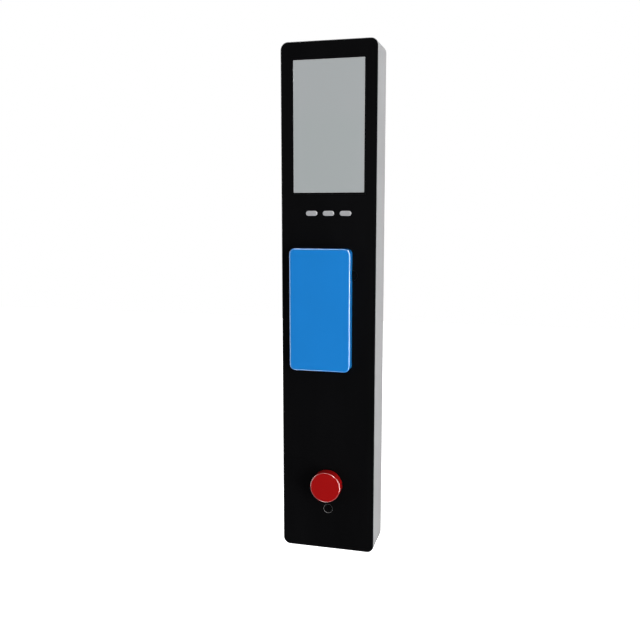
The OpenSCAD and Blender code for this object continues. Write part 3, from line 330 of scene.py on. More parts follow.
def moulded(name, base, rough, specular, drift=0.07, texture=1500, strength=0.08, coated=False):
    """Moulded plastic: fine texture, slight colour drift and hairline scuffs in the gloss."""
    s = Shader(name, base, rough=rough, specular=specular)
    if coated:
        s.surface({"Coat Weight": 1, "Coat Roughness": 0.05, "Coat IOR": 1.85})
    s.colour(s.ramp(s.noise(14, 3), shade(base, 1 - drift), shade(base, 1 + drift), (0.3, 0.7)))
    scuff = s.noise(60, 6, 0.75, s.stretch((1, 1, 5)))
    wear = 0.1 if coated else 0.3
    s.roughness(s.remap(scuff, rough * (1 - wear / 2), rough * (1 + wear), (0.4, 0.75)))
    s.bump(s.noise(texture, 2, 0.6), strength, 0.00015)
    return s.material


def metal(name, base, rough, brush, scale, metallic=0.9):
    """Bare or plated metal with a directional grain and faint stains."""
    s = Shader(name, base, rough=rough, metal=metallic)
    grain = s.noise(scale, 4, 0.65, s.stretch(brush))
    stain = s.noise(35, 4)
    tone = s.ramp(grain, shade(base, 0.8), base, (0.3, 0.7))
    s.colour(s.mix(s.remap(stain, 0, 0.35, (0.5, 0.8)), tone, shade(base, 0.75)))
    s.roughness(s.remap(stain, rough * 0.8, min(1, rough * 1.4), (0.3, 0.75)))
    s.bump(grain, 0.08)
    return s.material


def circuit_board():
    """Green solder mask with a lattice of tracks and pads."""
    s = Shader("circuit_board", (0.01, 0.11, 0.045), rough=0.35, specular=0.5)

    def tracks(place, wander, pitch, width):
        strayed = s.maths("ADD", place, s.maths("MULTIPLY", s.noise(40, 0), wander))
        return s.maths("LESS_THAN", s.maths("PINGPONG", strayed, pitch * MM), width * MM)

    x, _, z = s.axes()
    lattice = s.maths("MAXIMUM", tracks(x, 0.01, 1.1, 0.22), tracks(z, 0.012, 1.4, 0.2))
    shown = s.maths("MULTIPLY", lattice, s.maths("GREATER_THAN", s.noise(70, 2), 0.5))
    s.colour(s.mix(shown, (0.008, 0.085, 0.035), (0.03, 0.22, 0.09)))
    s.bump(shown, 0.3)
    return s.material


def wound_paper():
    """Thermal paper: fine winding lines round the roll's ends and a faint tint."""
    low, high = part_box("paper_roll")
    centre = (low + high) / 2
    s = Shader("paper", (0.84, 0.84, 0.82), rough=0.85, specular=0.2)
    _, y, z = s.axes()
    dy = s.maths("SUBTRACT", y, centre.y)
    dz = s.maths("SUBTRACT", z, centre.z)
    squares = s.maths("ADD", s.maths("MULTIPLY", dy, dy), s.maths("MULTIPLY", dz, dz))
    rings = s.waves(s.maths("SQRT", squares), 0.45 * MM)
    lines = s.maths("ADD", s.maths("MULTIPLY", rings, 0.35), s.noise(500, 3))
    s.colour(s.ramp(lines, (0.74, 0.74, 0.71), (0.88, 0.88, 0.86), (0.1, 0.7)))
    s.bump(lines, 0.15)
    return s.material


def card_core():
    """Brown card tube with coarse fibres."""
    s = Shader("card_core", (0.4, 0.29, 0.17), rough=0.9, specular=0.1)
    fibre = s.noise(350, 5, 0.7)
    s.colour(s.ramp(fibre, (0.3, 0.21, 0.12), (0.46, 0.34, 0.2), (0.3, 0.7)))
    s.bump(fibre, 0.3)
    return s.material


def rubber(name, tone):
    """Black rubber or sheath with a dull bloom."""
    s = Shader(name, (tone, tone, tone * 1.05), rough=0.72, specular=0.3)
    bloom = s.noise(30, 4)
    s.colour(s.ramp(bloom, (tone * 0.8,) * 3, (tone * 1.5,) * 3, (0.35, 0.7)))
    s.roughness(s.remap(bloom, 0.6, 0.85, (0.3, 0.7)))
    s.bump(s.noise(1200, 3, 0.6), 0.2)
    return s.material


def make_materials():
    """Every material by its slot's name, without the number that Blender may add to it."""
    glossy = {"drift": 0.02, "texture": 2200, "strength": 0.02, "coated": True}
    made = [
        housing_metal(), black_panel(), screen_glass(), key_metal(), circuit_board(), wound_paper(),
        card_core(), rubber("rubber", 0.016), rubber("cable_sheath", 0.02),
        moulded("blue_plastic", (0.0095, 0.225, 0.66), 0.34, 0.1, **glossy),
        moulded("red_plastic", (0.37, 0.0026, 0.003), 0.3, 0.1, **glossy),
        moulded("dark_plastic", (0.017, 0.017, 0.018), 0.5, 0.35),
        moulded("grey_plastic", (0.13, 0.135, 0.14), 0.5, 0.4),
        moulded("light_plastic", (0.66, 0.65, 0.6), 0.45, 0.4),
        metal("plated_steel", (0.38, 0.38, 0.375), 0.46, (1, 1, 6), 220, metallic=0.45),
        metal("polished_steel", (0.55, 0.55, 0.56), 0.24, (1, 1, 3), 400, metallic=0.75),
        metal("brass", (0.62, 0.44, 0.16), 0.3, (1, 1, 1), 260),
    ]
    return {material.name.split(".")[0]: material for material in made}


MATERIALS = make_materials()


# ---- Mesh tools ----------------------------------------------------------------------------

def extent(node):
    """Lowest and highest corners and the centre of a node at rest, in millimetres."""
    low, high = (Vector(corner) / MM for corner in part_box(node))
    return low, high, (low + high) / 2


def spot_of(node):
    """Centre of a node across the front, in X and Z."""
    middle = extent(node)[2]
    return middle.x, middle.z


def rounded_rect(w, h, r, cx=0.0, cz=0.0, steps=14):
    """Counter-clockwise outline of a rectangle with round corners."""
    outline = []
    for corner, (sx, sz) in enumerate(((1, 1), (-1, 1), (-1, -1), (1, -1))):
        for step in range(steps + 1):
            angle = math.pi / 2 * (corner + step / steps)
            outline.append((cx + sx * (w / 2 - r) + r * math.cos(angle),
                            cz + sz * (h / 2 - r) + r * math.sin(angle)))
    return outline


def footprint(low, high, r, steps=14, within=0.0):
    """Round-cornered outline in X and Z between two corners, or a distance within it."""
    return rounded_rect(high[0] - low[0] - 2 * within, high[2] - low[2] - 2 * within, r,
                        (low[0] + high[0]) / 2, (low[2] + high[2]) / 2, steps)


def circle(spot, r, steps=64):
    angles = [2 * math.pi * step / steps for step in range(steps)]
    return [(spot[0] + r * math.cos(a), spot[1] + r * math.sin(a)) for a in angles]


def inset(outline, distance):
    """Outline moved to its left by a distance, with mitred corners."""
    moved = []
    for a, b, c in zip(outline[-1:] + outline, outline, outline[1:] + outline[:1]):
        one = Vector((b[0] - a[0], b[1] - a[1])).normalized().orthogonal()
        two = Vector((c[0] - b[0], c[1] - b[1])).normalized().orthogonal()
        shift = (one + two) * distance / (1 + one.dot(two))
        moved.append((b[0] + shift.x, b[1] + shift.y))
    return moved


def area(outline):
    return sum(a[0] * b[1] - b[0] * a[1] for a, b in zip(outline, outline[1:] + outline[:1])) / 2


def filleted(corners, steps=5, ring=False):
    """Polyline of (u, v, radius) corners with each one rounded to its radius."""
    path = []
    count = len(corners)
    for i, (u, v, r) in enumerate(corners):
        if r == 0 or (not ring and i in (0, count - 1)):
            path.append((u, v))
            continue
        here = Vector((u, v))
        before = (Vector(corners[i - 1][:2]) - here).normalized()
        after = (Vector(corners[(i + 1) % count][:2]) - here).normalized()
        half = before.angle(after) / 2
        centre = here + (before + after).normalized() * r / math.sin(half)
        start = here + before * r / math.tan(half) - centre
        end = here + after * r / math.tan(half) - centre
        sweep = start.angle(end)
        for step in range(steps + 1):
            t = step / steps
            spoke = start * math.sin((1 - t) * sweep) + end * math.sin(t * sweep)
            path.append(tuple(centre + spoke / math.sin(sweep)))
    return path


class Build:
    """Closed solids gathered into one piece: millimetres, with outlines in X and Z."""

    def __init__(self):
        self.points = []
        self.faces = []

    def quads(self, first, rows, count, close_rows=False):
        """Faces between closed rows of points, from one row to the next."""
        for row in range(rows if close_rows else rows - 1):
            here = first + row * count
            there = first + (row + 1) % rows * count
            for i in range(count):
                j = (i + 1) % count
                self.faces.append((here + i, here + j, there + j, there + i))

    def loft(self, outline, profile):
        """Wall on an outline with a row for each (inset, depth), and its first and last rows."""
        first = len(self.points)
        count = len(outline)
        for shift, depth in profile:
            self.points += [(x, depth, z) for x, z in inset(outline, shift)]
        self.quads(first, len(profile), count)
        last = len(self.points) - count
        return tuple(range(first, first + count)), tuple(range(last, last + count))

    def plate(self, loops, y0, y1, edge=0.3, steps=3):
        """Plate between two depths, with an outline and its holes, and rounded edges."""
        angles = [math.pi / 2 * step / steps for step in range(steps + 1)]
        front = [(edge * (1 - math.sin(a)), y0 + edge * (1 - math.cos(a))) for a in angles]
        back = [(edge * (1 - math.sin(a)), y1 - edge * (1 - math.cos(a))) for a in angles]
        walls = []
        for index, loop in enumerate(loops):
            outline = loop if (area(loop) > 0) == (index == 0) else loop[::-1]
            walls.append(self.loft(outline, front + back[::-1]))
        for rings in zip(*walls):
            flat = [[Vector((self.points[i][0], self.points[i][2], 0)) for i in ring] for ring in rings]
            order = [i for ring in rings for i in ring]
            self.faces += [tuple(order[i] for i in face) for face in tessellate_polygon(flat)]
        return self

    def box(self, low, high, edge=0.25):
        """Box between two corners, with all its edges rounded."""
        return self.plate([footprint(low, high, edge * 1.01, 3)], low[1], high[1], edge)

    def turned(self, centre, axis, profile, turns=72, ring=False, lead=0.0, depth=0.0):
        """Solid of revolution about an axis; with a lead, a screw thread is cut into it."""
        first = len(self.points)
        for radius, place in profile:
            for step in range(turns):
                angle = 2 * math.pi * step / turns
                r = radius
                if lead:
                    phase = (place / lead + step / turns) % 1
                    r -= depth * abs(2 * phase - 1)
                point = [centre[0] + r * math.cos(angle), centre[1] + r * math.sin(angle)]
                point.insert("XYZ".index(axis), place)
                self.points.append(tuple(point))
        self.quads(first, len(profile), turns, close_rows=ring)
        return self

    def rod(self, centre, axis, r, start, end, edge=0.3, turns=48):
        return self.turned(centre, axis, filleted([(0, start, 0), (r, start, edge), (r, end, edge),
                                                   (0, end, 0)], 3), turns)

    def thread(self, centre, r, bore, start, end, pitch=1.5, turns=64):
        """Threaded sleeve along Y with a plain bore."""
        rows = int((end - start) / pitch * 6)
        outer = [(r, start + (end - start) * i / rows) for i in range(rows + 1)]
        first = len(self.points)
        self.turned(centre, "Y", outer, turns, lead=pitch, depth=0.55 * pitch)
        inner = len(self.points)
        self.turned(centre, "Y", [(bore, start), (bore, end)], turns)
        last = inner - turns
        for i in range(turns):
            j = (i + 1) % turns
            self.faces.append((first + i, first + j, inner + j, inner + i))
            self.faces.append((last + i, last + j, inner + turns + j, inner + turns + i))
        return self

    def tube(self, route, radius, sides=12):
        """Round bar along a list of points, closed at both ends."""
        route = [Vector(point) for point in route]
        normal = (route[1] - route[0]).orthogonal().normalized()
        first = len(self.points)
        for i, point in enumerate(route):
            ahead = (route[min(i + 1, len(route) - 1)] - route[max(i - 1, 0)]).normalized()
            normal = (normal - ahead * normal.dot(ahead)).normalized()
            side = ahead.cross(normal)
            for step in range(sides):
                angle = 2 * math.pi * step / sides
                offset = normal * math.cos(angle) + side * math.sin(angle)
                self.points.append(tuple(point + offset * radius))
        self.quads(first, len(route), sides)
        self.faces.append(tuple(range(first, first + sides)))
        self.faces.append(tuple(range(len(self.points) - sides, len(self.points))))
        return self

    def mesh(self, name):
        """Clean mesh in metres, with merged points and its normals outwards."""
        mesh = bpy.data.meshes.new(name)
        mesh.from_pydata([[c * MM for c in point] for point in self.points], [], self.faces)
        work = bmesh.new()
        work.from_mesh(mesh)
        bmesh.ops.remove_doubles(work, verts=work.verts, dist=1e-7)
        bmesh.ops.dissolve_degenerate(work, edges=work.edges, dist=1e-8)
        bmesh.ops.recalc_face_normals(work, faces=work.faces)
        work.to_mesh(mesh)
        work.free()
        return mesh

    def piece(self, name, body, slot, *nodes):
        return finish_piece(name, self.mesh(name), body, slot, nodes)


def smooth_route(corners, steps=8):
    """Catmull-Rom curve through a list of points."""
    points = [Vector(corner) for corner in corners]
    points = [points[0] * 2 - points[1]] + points + [points[-1] * 2 - points[-2]]
    route = []
    for a, b, c, d in zip(points, points[1:], points[2:], points[3:]):
        for step in range(steps):
            t = step / steps
            route.append((b * 2 + (c - a) * t + (a * 2 - b * 5 + c * 4 - d) * t * t
                          + (b * 3 - a - c * 3 + d) * t * t * t) / 2)
    route.append(points[-2])
    return route


def finish_piece(name, mesh, body, slot, nodes=()):
    """Object with smooth shading and weighted normals, which rides and takes its material."""
    mesh.shade_smooth()
    mesh.set_sharp_from_angle(angle=math.radians(42))
    mesh.materials.clear()
    mesh.materials.append(MATERIALS[slot])
    piece = add_object(name, mesh)
    piece.modifiers.new("normals", "WEIGHTED_NORMAL").keep_sharp = True
    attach(piece, body)
    if nodes:
        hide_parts(*nodes)
    return piece


def carve(piece, cutter):
    """Cuts a mesh out of a piece for good."""
    tool = add_object("cutter", cutter)
    cut = piece.modifiers.new("cut", "BOOLEAN")
    cut.operation = "DIFFERENCE"
    cut.solver = "EXACT"
    cut.object = tool
    piece.modifiers.move(len(piece.modifiers) - 1, 0)
    weigh = piece.modifiers["normals"]
    weigh.show_viewport = False
    shape = piece.evaluated_get(bpy.context.evaluated_depsgraph_get())
    mesh = bpy.data.meshes.new_from_object(shape)
    piece.modifiers.remove(cut)
    weigh.show_viewport = True
    piece.data = mesh
    bpy.data.objects.remove(tool)


def softened(node, width=0.25, slot=None):
    """Copy of a CAD node with merged faces and bevelled edges, shown in its place."""
    mesh = NODES[node].data.copy()
    work = bmesh.new()
    work.from_mesh(mesh)
    bmesh.ops.remove_doubles(work, verts=work.verts, dist=2e-6)
    bmesh.ops.dissolve_limit(work, angle_limit=math.radians(0.6), verts=work.verts, edges=work.edges)
    sharp = [e for e in work.edges
             if len(e.link_faces) == 2 and e.calc_face_angle(0) > math.radians(32)]
    bmesh.ops.bevel(work, geom=sharp, offset=width * MM, segments=2, profile=0.5,
                    affect="EDGES", clamp_overlap=True)
    work.to_mesh(mesh)
    work.free()
    return finish_piece(node + "_shown", mesh, BODY_OF[node], slot or SLOTS[node], (node,))


# ---- Front: panel, display, keys -----------------------------------------------------------

CORNER = 13             # radius of the front's corners
PANEL_HIGHLIGHT_RIM = 0.8         # silver strip round the black panel, a painted highlight line along its edge
GLASS_MASK = 2.85       # black border printed on the display glass
HIGHLIGHT_EDGE = 0.55      # silver band round the lit field, a painted highlight line
KEY_W = 20
KEY_H = 8.5
KEY_NODES = {"key_left": "left_key", "key_middle": "middle_key", "key_right": "right_key"}
SENSOR_R = 8.8
BUTTON_BARREL_R = 15
LOCK_R = 8.3
PANEL_FRONT = extent("front_panel")[0].y
PANEL_BACK = extent("front_panel")[1].y


def make_front_panel():
    """Black panel in a silver rim that paints the highlight along its edge, with holes for all that shows
    through it.
    """
    low, high, _ = extent("front_panel")
    seam = 0.02
    border = [footprint(low, high, CORNER), footprint(low, high, CORNER - PANEL_HIGHLIGHT_RIM, within=PANEL_HIGHLIGHT_RIM)]
    # the silver rim is a painted highlight: a light line along the panel's edge
    Build().plate(border, low.y, high.y, 0.38, 5).piece("panel_highlight_rim", "door", "housing_metal")
    glass_low, glass_high, _ = extent("display_glass")
    loops = [footprint(low, high, CORNER - PANEL_HIGHLIGHT_RIM, within=PANEL_HIGHLIGHT_RIM + seam),
             footprint(glass_low, glass_high, 0.6, 4, within=-0.15)]
    gap = 0.2
    for node in KEY_NODES:
        loops.append(rounded_rect(KEY_W + 2 * gap, KEY_H + 2 * gap, KEY_H / 2 + gap - 0.001, *spot_of(node)))
    for node, r in (("sensor_lens", SENSOR_R + 0.1), ("button_cap", BUTTON_BARREL_R + 0.1),
                    ("lock_barrel", LOCK_R + 0.15)):
        loops.append(circle(spot_of(node), r))
    build = Build().plate(loops, low.y, high.y, 0.2, 3)
    build.piece("front_panel_shown", "door", "black_panel", "front_panel")


def make_display():
    """Glass with a printed black border, a pale lit field and a silver band round it as a painted highlight.
    """
    low, high, _ = extent("display_glass")
    glass = footprint(low, high, 0.6, 4)
    window = footprint(low, high, 0.5, 4, GLASS_MASK)
    pane = footprint(low, high, 0.3, 4, GLASS_MASK + HIGHLIGHT_EDGE)
    border = Build().plate([glass, window], low.y, high.y, 0.12, 2)
    border.piece("display_border", "door", "black_panel", "display_glass")
    # painted highlight: a silver band that gives the light line round the screen
    edge = Build().plate([window, pane], low.y - 0.1, high.y, 0.2, 3)
    edge.piece("display_highlight_edge", "door", "key_metal")
    Build().plate([pane], low.y + 0.1, high.y, 0.1, 2).piece("display_pane", "door", "screen_glass")


def make_keys():
    """Domed metal caps, each on a plastic flange with a stem to its switch."""
    flange_front = PANEL_BACK + 0.3
    flange_back = flange_front + 1
    for node, body in KEY_NODES.items():
        low, high, _ = extent(node)
        spot = spot_of(node)
        cap = Build().plate([rounded_rect(KEY_W, KEY_H, KEY_H / 2 - 0.001, *spot)],
                            low.y, flange_front, 0.95, 5)
        cap.piece(node + "_cap", body, "key_metal", node)
        flange = Build().plate([footprint(low, high, KEY_H / 2)], flange_front, flange_back, 0.2)
        flange.rod(spot, "Y", 1.8, flange_back - 0.1, high.y, 0.2)
        flange.piece(node + "_flange", body, "grey_plastic")


# ---- Card reader and sensor ----------------------------------------------------------------

def make_reader():
    """Moulded cover: a rolled front edge, thin walls and a notch for the sensor."""
    low, high, _ = extent("reader_cover")
    edge = 3
    lip = 0.25
    wall = 2.5
    lining = low.y + wall + 0.5
    steps = 10
    angles = [math.pi / 2 * step / steps for step in range(steps + 1)]
    profile = [(edge * (1 - math.sin(a)), low.y + edge * (1 - math.cos(a))) for a in angles]
    profile += [(0, high.y - lip), (lip, high.y), (wall - lip, high.y), (wall, high.y - lip),
                (wall, lining + 1), (wall + 0.3, lining + 0.3), (wall + 1, lining)]
    build = Build()
    build.faces += build.loft(footprint(low, high, 10, 20), profile)
    cover = build.piece("reader_cover_shown", "door", "blue_plastic", "reader_cover")
    notch = Build().rod(spot_of("sensor_lens"), "Y", 10, high.y - 2.7, high.y + 2, 0.1, 64)
    carve(cover, notch.mesh("notch"))


def make_reader_board():
    """Antenna board: a three-turn copper track, a reader chip and its small parts."""
    low, high, middle = extent("reader_board")
    copper = 0.4
    board = Build().plate([footprint(low, high, 4)], low.y + copper, high.y, 0.15)
    board.piece("reader_board_shown", "door", "circuit_board", "reader_board")
    track = Build()
    for turn in range(3):
        w = high.x - low.x - 32 - 6 * turn
        h = high.z - low.z - 40 - 6 * turn
        track.plate([rounded_rect(w, h, 6, middle.x, middle.z, 8),
                     rounded_rect(w - 2.4, h - 2.4, 4.8, middle.x, middle.z, 8)],
                    low.y, low.y + copper + 0.01, 0.1, 2)
    track.piece("reader_coil", "door", "brass")
    chips = Build()
    for x, z, half in ((0, 0, 9), (-16, 12, 5), (14, -14, 5), (12, 16, 4)):
        chips.box((middle.x + x - half, high.y - 0.05, middle.z + z - half),
                  (middle.x + x + half, high.y + 1.5, middle.z + z + half), 0.2)
    chips.piece("reader_chips", "door", "dark_plastic")


def make_sensor():
    """Threaded barrel with a lipped head, a shallow lens and a rubber tail."""
    low, high, _ = extent("sensor_barrel")
    spot = spot_of("sensor_lens")
    r = SENSOR_R
    lens_r = r - 1.6
    seat = low.y + 2
    neck = high.y - 34
    head = filleted([(lens_r, seat, 0), (lens_r, low.y, 0.35), (r, low.y, 0.5), (r, neck, 0),
                     (0, neck, 0), (0, seat, 0)], 4, ring=True)
    Build().turned(spot, "Y", head, ring=True).piece("sensor_head", "door", "black_panel",
                                                     "sensor_barrel")
    lens = filleted([(0, low.y + 0.35, 0), (4, low.y + 0.5, 3), (lens_r, low.y + 0.9, 0),
                     (lens_r, seat, 0), (0, seat, 0)], 5)
    Build().turned(spot, "Y", lens).piece("sensor_lens_shown", "door", "black_panel", "sensor_lens")
    Build().thread(spot, r, 4, neck, high.y - 6).piece("sensor_thread", "door", "plated_steel")
    tail = filleted([(0, neck + 1, 0), (5.4, neck + 1, 0), (r - 4, high.y - 5, 0.3),
                     (r - 4.4, high.y, 1), (0, high.y, 0)], 4)
    Build().turned(spot, "Y", tail).piece("sensor_tail", "door", "rubber")


# ---- Push button and lock ------------------------------------------------------------------

BUTTON_STEM_R = 7.5


def make_button():
    """Red mushroom cap on a stem that runs in a threaded body."""
    low, high, _ = extent("button_cap")
    spot = spot_of("button_cap")
    r = (high.x - low.x) / 2
    wall = 3
    skirt = low.y + 19
    cap = filleted([(0, low.y, 0), (r, low.y, 2.4), (r, skirt, 0.5), (r - wall, skirt, 0.5),
                    (r - wall, low.y + wall, 1.2), (BUTTON_STEM_R, low.y + wall, 0.8),
                    (BUTTON_STEM_R, high.y, 0.5), (0, high.y, 0)], 9)
    Build().turned(spot, "Y", cap, 120).piece("button_cap_shown", "red_button", "red_plastic",
                                              "button_cap")
    low, high, _ = extent("button_body")
    flange_r = (high.x - low.x) / 2
    bore = BUTTON_STEM_R + 0.06
    well = 12
    floor = low.y + 2
    flange = filleted([(bore, floor, 0), (well, floor, 0.2), (well, low.y, 0.3), (flange_r, low.y, 1.2),
                       (flange_r, PANEL_FRONT, 0.2), (bore, PANEL_FRONT, 0)], 4, ring=True)
    Build().turned(spot, "Y", flange, ring=True).piece("button_flange", "door", "dark_plastic",
                                                       "button_body")
    neck = Build().thread(spot, BUTTON_BARREL_R, bore, PANEL_FRONT, high.y)
    neck.piece("button_thread", "door", "dark_plastic")


def make_button_spring():
    """Return spring, a coil of round wire."""
    low, high, _ = extent("button_spring")
    x, z = spot_of("button_cap")
    wire = 0.8
    turns = 5
    steps = turns * 40
    coil = (high.x - low.x) / 2 - wire
    length = high.y - low.y
    route = []
    for step in range(steps + 1):
        share = step / steps
        angle = 2 * math.pi * turns * share
        route.append((x + coil * math.cos(angle), low.y + wire + (length - 2 * wire) * share,
                      z + coil * math.sin(angle)))
    spring = Build().tube(route, wire, 10).piece("button_spring_shown", BODY_OF["button_spring"],
                                                 "polished_steel", "button_spring")
    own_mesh(spring)


def make_button_contacts():
    """Contact block with two raised banks and two brass screws on each."""
    low, high, _ = extent("button_contacts")
    z = spot_of("button_cap")[1]
    back = high.y - 3
    case = Build().box(low, (high.x, back, high.z), 0.8)
    screws = Build()
    for x in (-9, 9):
        case.box((x - 4.5, back - 0.3, z - 11), (x + 4.5, back + 0.6, z + 11))
        for lift in (-5, 5):
            screws.rod((x, z + lift), "Y", 2.6, back, high.y, 0.4, 24)
    case.piece("contact_block", "door", "light_plastic", "button_contacts")
    screws.piece("contact_screws", "door", "brass")


def make_lock():
    """Black lock face sunk in a bright ring that lines the panel's hole."""
    low, high, _ = extent("lock_barrel")
    spot = spot_of("lock_barrel")
    r = LOCK_R
    plug = 5.56
    face = low.y
    collar = PANEL_BACK + 1.5
    head = filleted([(plug, face + 0.6, 0), (plug, face, 0.25), (r, face, 0.2), (r, PANEL_BACK, 0),
                     (11.3, PANEL_BACK, 0.2), (11.3, collar, 0.2), (plug, collar, 0)], 4, ring=True)
    Build().turned(spot, "Y", head, ring=True).piece("lock_head", "door", "black_panel", "lock_barrel")
    barrel = Build().thread(spot, r, plug, collar - 0.1, high.y, 1)
    barrel.piece("lock_thread", "door", "plated_steel")
    back = face - 0.02
    front = PANEL_FRONT + 0.3
    ring = filleted([(r - 0.15, back, 0), (r - 0.15, front, 0.08), (r + 0.13, front, 0.08),
                     (r + 0.13, back, 0)], 3, ring=True)
    Build().turned(spot, "Y", ring, 96, ring=True).piece("lock_ring", "door", "plated_steel")


# ---- Door contents -------------------------------------------------------------------------

PIN_PITCH = 2.54
SUNK = 0.02             # how far a part on a board reaches into it
BOARD_THICK = 1.6
BOARD_LOW, _, BOARD_MIDDLE = extent("controller_board")
BOARD_BACK = BOARD_LOW.y + BOARD_THICK


def board_outline(node, r, corners):
    """Outline of a circuit board and its screw holes, five millimetres in from its edges."""
    low, high, middle = extent(node)
    holes = [circle((middle.x + sx * (high.x - 5 - middle.x), middle.z + sz * (high.z - 5 - middle.z)),
                    1.5, 20) for sx, sz in corners]
    return [footprint(low, high, r, 6)] + holes


def make_controller_board():
    """Board with its screw holes, and all that stands on its back."""
    corners = [(sx, sz) for sx in (-1, 1) for sz in (-1, 1)]
    outline = board_outline("controller_board", 2.5, corners)
    board = Build().plate(outline, BOARD_LOW.y, BOARD_BACK, 0.12, 2)
    board.piece("board", "door", "circuit_board", "controller_board")
    make_heat_sink()
    make_board_ports()
    make_capacitors()
    make_board_chips()
    make_small_parts()


def on_board(build, x, z, w, h, height, edge):
    """Box on the board's back, from its lower left corner, which is given from the middle."""
    return build.box((x, BOARD_BACK - SUNK, BOARD_MIDDLE.z + z),
                     (x + w, BOARD_BACK + height, BOARD_MIDDLE.z + z + h), edge)


def make_heat_sink():
    side = 42
    base = 2.5
    bottom = -5
    sink = on_board(Build(), -side / 2, bottom, side, side, base, 0.3)
    z = BOARD_MIDDLE.z + bottom
    for fin in range(-5, 6):
        x = fin * 4
        sink.box((x - 0.7, BOARD_BACK + base - 0.2, z), (x + 0.7, BOARD_BACK + 9, z + side), 0.2)
    sink.piece("heat_sink", "door", "dark_plastic")


def make_board_ports():
    """Three white sockets along the board's lower edge, with six pins in each."""
    bottom = BOARD_LOW.z - BOARD_MIDDLE.z
    height = 8
    ports = Build()
    pins = Build()
    for port in (-1, 0, 1):
        left = port * 32 - 9
        on_board(ports, left, bottom + 4, 18, 12, height, 0.4)
        for pin in range(6):
            x = left + 2.2 + pin * PIN_PITCH
            pins.box((x, BOARD_BACK + height - 0.4, BOARD_LOW.z + 7),
                     (x + 1, BOARD_BACK + height + 0.4, BOARD_LOW.z + 13), 0.1)
    ports.piece("board_ports", "door", "light_plastic")
    pins.piece("board_pins", "door", "brass")


def make_capacitors():
    tall = 10
    sleeves = Build()
    tops = Build()
    for index in range(3):
        spot = (40, BOARD_MIDDLE.z - 10 + index * 15)
        sleeves.rod(spot, "Y", 5, BOARD_BACK - SUNK, BOARD_BACK + tall - 0.3, 0.5)
        tops.rod(spot, "Y", 4.4, BOARD_BACK + tall - 0.5, BOARD_BACK + tall, 0.15)
    sleeves.piece("capacitor_sleeves", "door", "dark_plastic")
    tops.piece("capacitor_tops", "door", "polished_steel")


def make_board_chips():
    """Black chips by corner and size, and the bright legs of the two largest."""
    chips = on_board(Build(), -50, -30, 18, 40, 2, 0.25)
    for x, z, w, h in ((-49, 17, 14, 14), (-49, 35, 10, 18), (-3, -43, 18, 18), (28, -43, 12, 10),
                       (-2, 50, 20, 12), (32, 50, 12, 12), (-14, -22, 8, 8)):
        on_board(chips, x, z, w, h, 1.3, 0.2)
    chips.piece("board_chips", "door", "dark_plastic")
    legs = Build()
    for z in range(-28, 9, 3):
        for x in (-51.4, -32):
            on_board(legs, x, z, 1.4, 1.2, 0.35, 0.08)
    for step in range(12):
        for z in (-44.4, -25):
            on_board(legs, -1.8 + step * 1.35, z, 0.6, 1.4, 0.3, 0.08)
    legs.piece("board_legs", "door", "polished_steel")


def make_small_parts():
    """Rows of small pale parts, with gaps in a fixed pattern."""
    small = Build()
    for row in range(5):
        for column in range(9):
            if (row * 5 + column * 3) % 4:
                on_board(small, -24 + column * 3.4 + row % 2, 44 + row * 3.1, 1.8, 1, 0.7, 0.1)
    small.piece("board_small_parts", "door", "light_plastic")


def make_key_board():
    """Board with a switch behind each key and one long socket on its back."""
    low, high, middle = extent("key_board")
    port_tall = 6
    back = high.y - port_tall
    front = back - BOARD_THICK
    board = Build().plate(board_outline("key_board", 2, ((-1, 0), (1, 0))), front, back, 0.12, 2)
    board.piece("key_board_shown", "door", "circuit_board", "key_board")
    plunger_end = low.y + 0.8
    half = 3.1
    switches = Build()
    plungers = Build()
    for node in KEY_NODES:
        x, _ = spot_of(node)
        switches.box((x - half, plunger_end, middle.z - half), (x + half, front + SUNK, middle.z + half), 0.3)
        plungers.rod((x, middle.z), "Y", 1.7, low.y, plunger_end + 0.1, 0.2, 24)
    switches.piece("key_switches", "door", "plated_steel")
    plungers.piece("key_plungers", "door", "dark_plastic")
    port = Build().box((-16, back - SUNK, middle.z - 4), (16, high.y, middle.z + 4), 0.4)
    port.piece("key_port", "door", "light_plastic")
    pins = Build()
    for pin in range(-5, 6):
        x = pin * PIN_PITCH
        pins.box((x - 0.35, high.y - 0.3, middle.z - 2.4), (x + 0.35, high.y + 0.05, middle.z + 2.4), 0.1)
    pins.piece("key_port_pins", "door", "brass")


def make_display_back():
    """Metal back of the display, with pressed ribs and its driver strip."""
    low, high, middle = extent("lcd_module")
    back = high.y - 1
    ribs = Build()
    for x in (-28, 28):
        for lift in (-62, 0, 62):
            ribs.plate([rounded_rect(46, 5, 2.4, x, middle.z + lift, 6)], back - 0.1, back + 0.6, 0.3)
    ribs.piece("display_ribs", "door", "plated_steel")
    strip = Build().box((low.x + 10, back - 0.05, low.z + 6), (high.x - 10, back + 0.8, low.z + 20), 0.15)
    strip.piece("display_driver", "door", "circuit_board")


# ---- Cabinet contents ----------------------------------------------------------------------

def slotted_screws(name, spots, r, front, back):
    """Brass screw heads with a slot across each."""
    half = 0.22 * r
    slot_floor = front + (back - front) * 0.45
    heads = Build()
    for x, z in spots:
        for side in (-1, 1):
            outline = [(px, pz) for px, pz in circle((x, z), r, 28) if side * (px - x) > half]
            outline.sort(key=lambda p: math.atan2(side * (p[1] - z), side * (p[0] - x)))
            heads.plate([outline], front, back, 0.12, 2)
        heads.rod((x, z), "Y", r * 0.98, slot_floor, back, 0.1, 28)
    heads.piece(name, "cabinet", "brass")


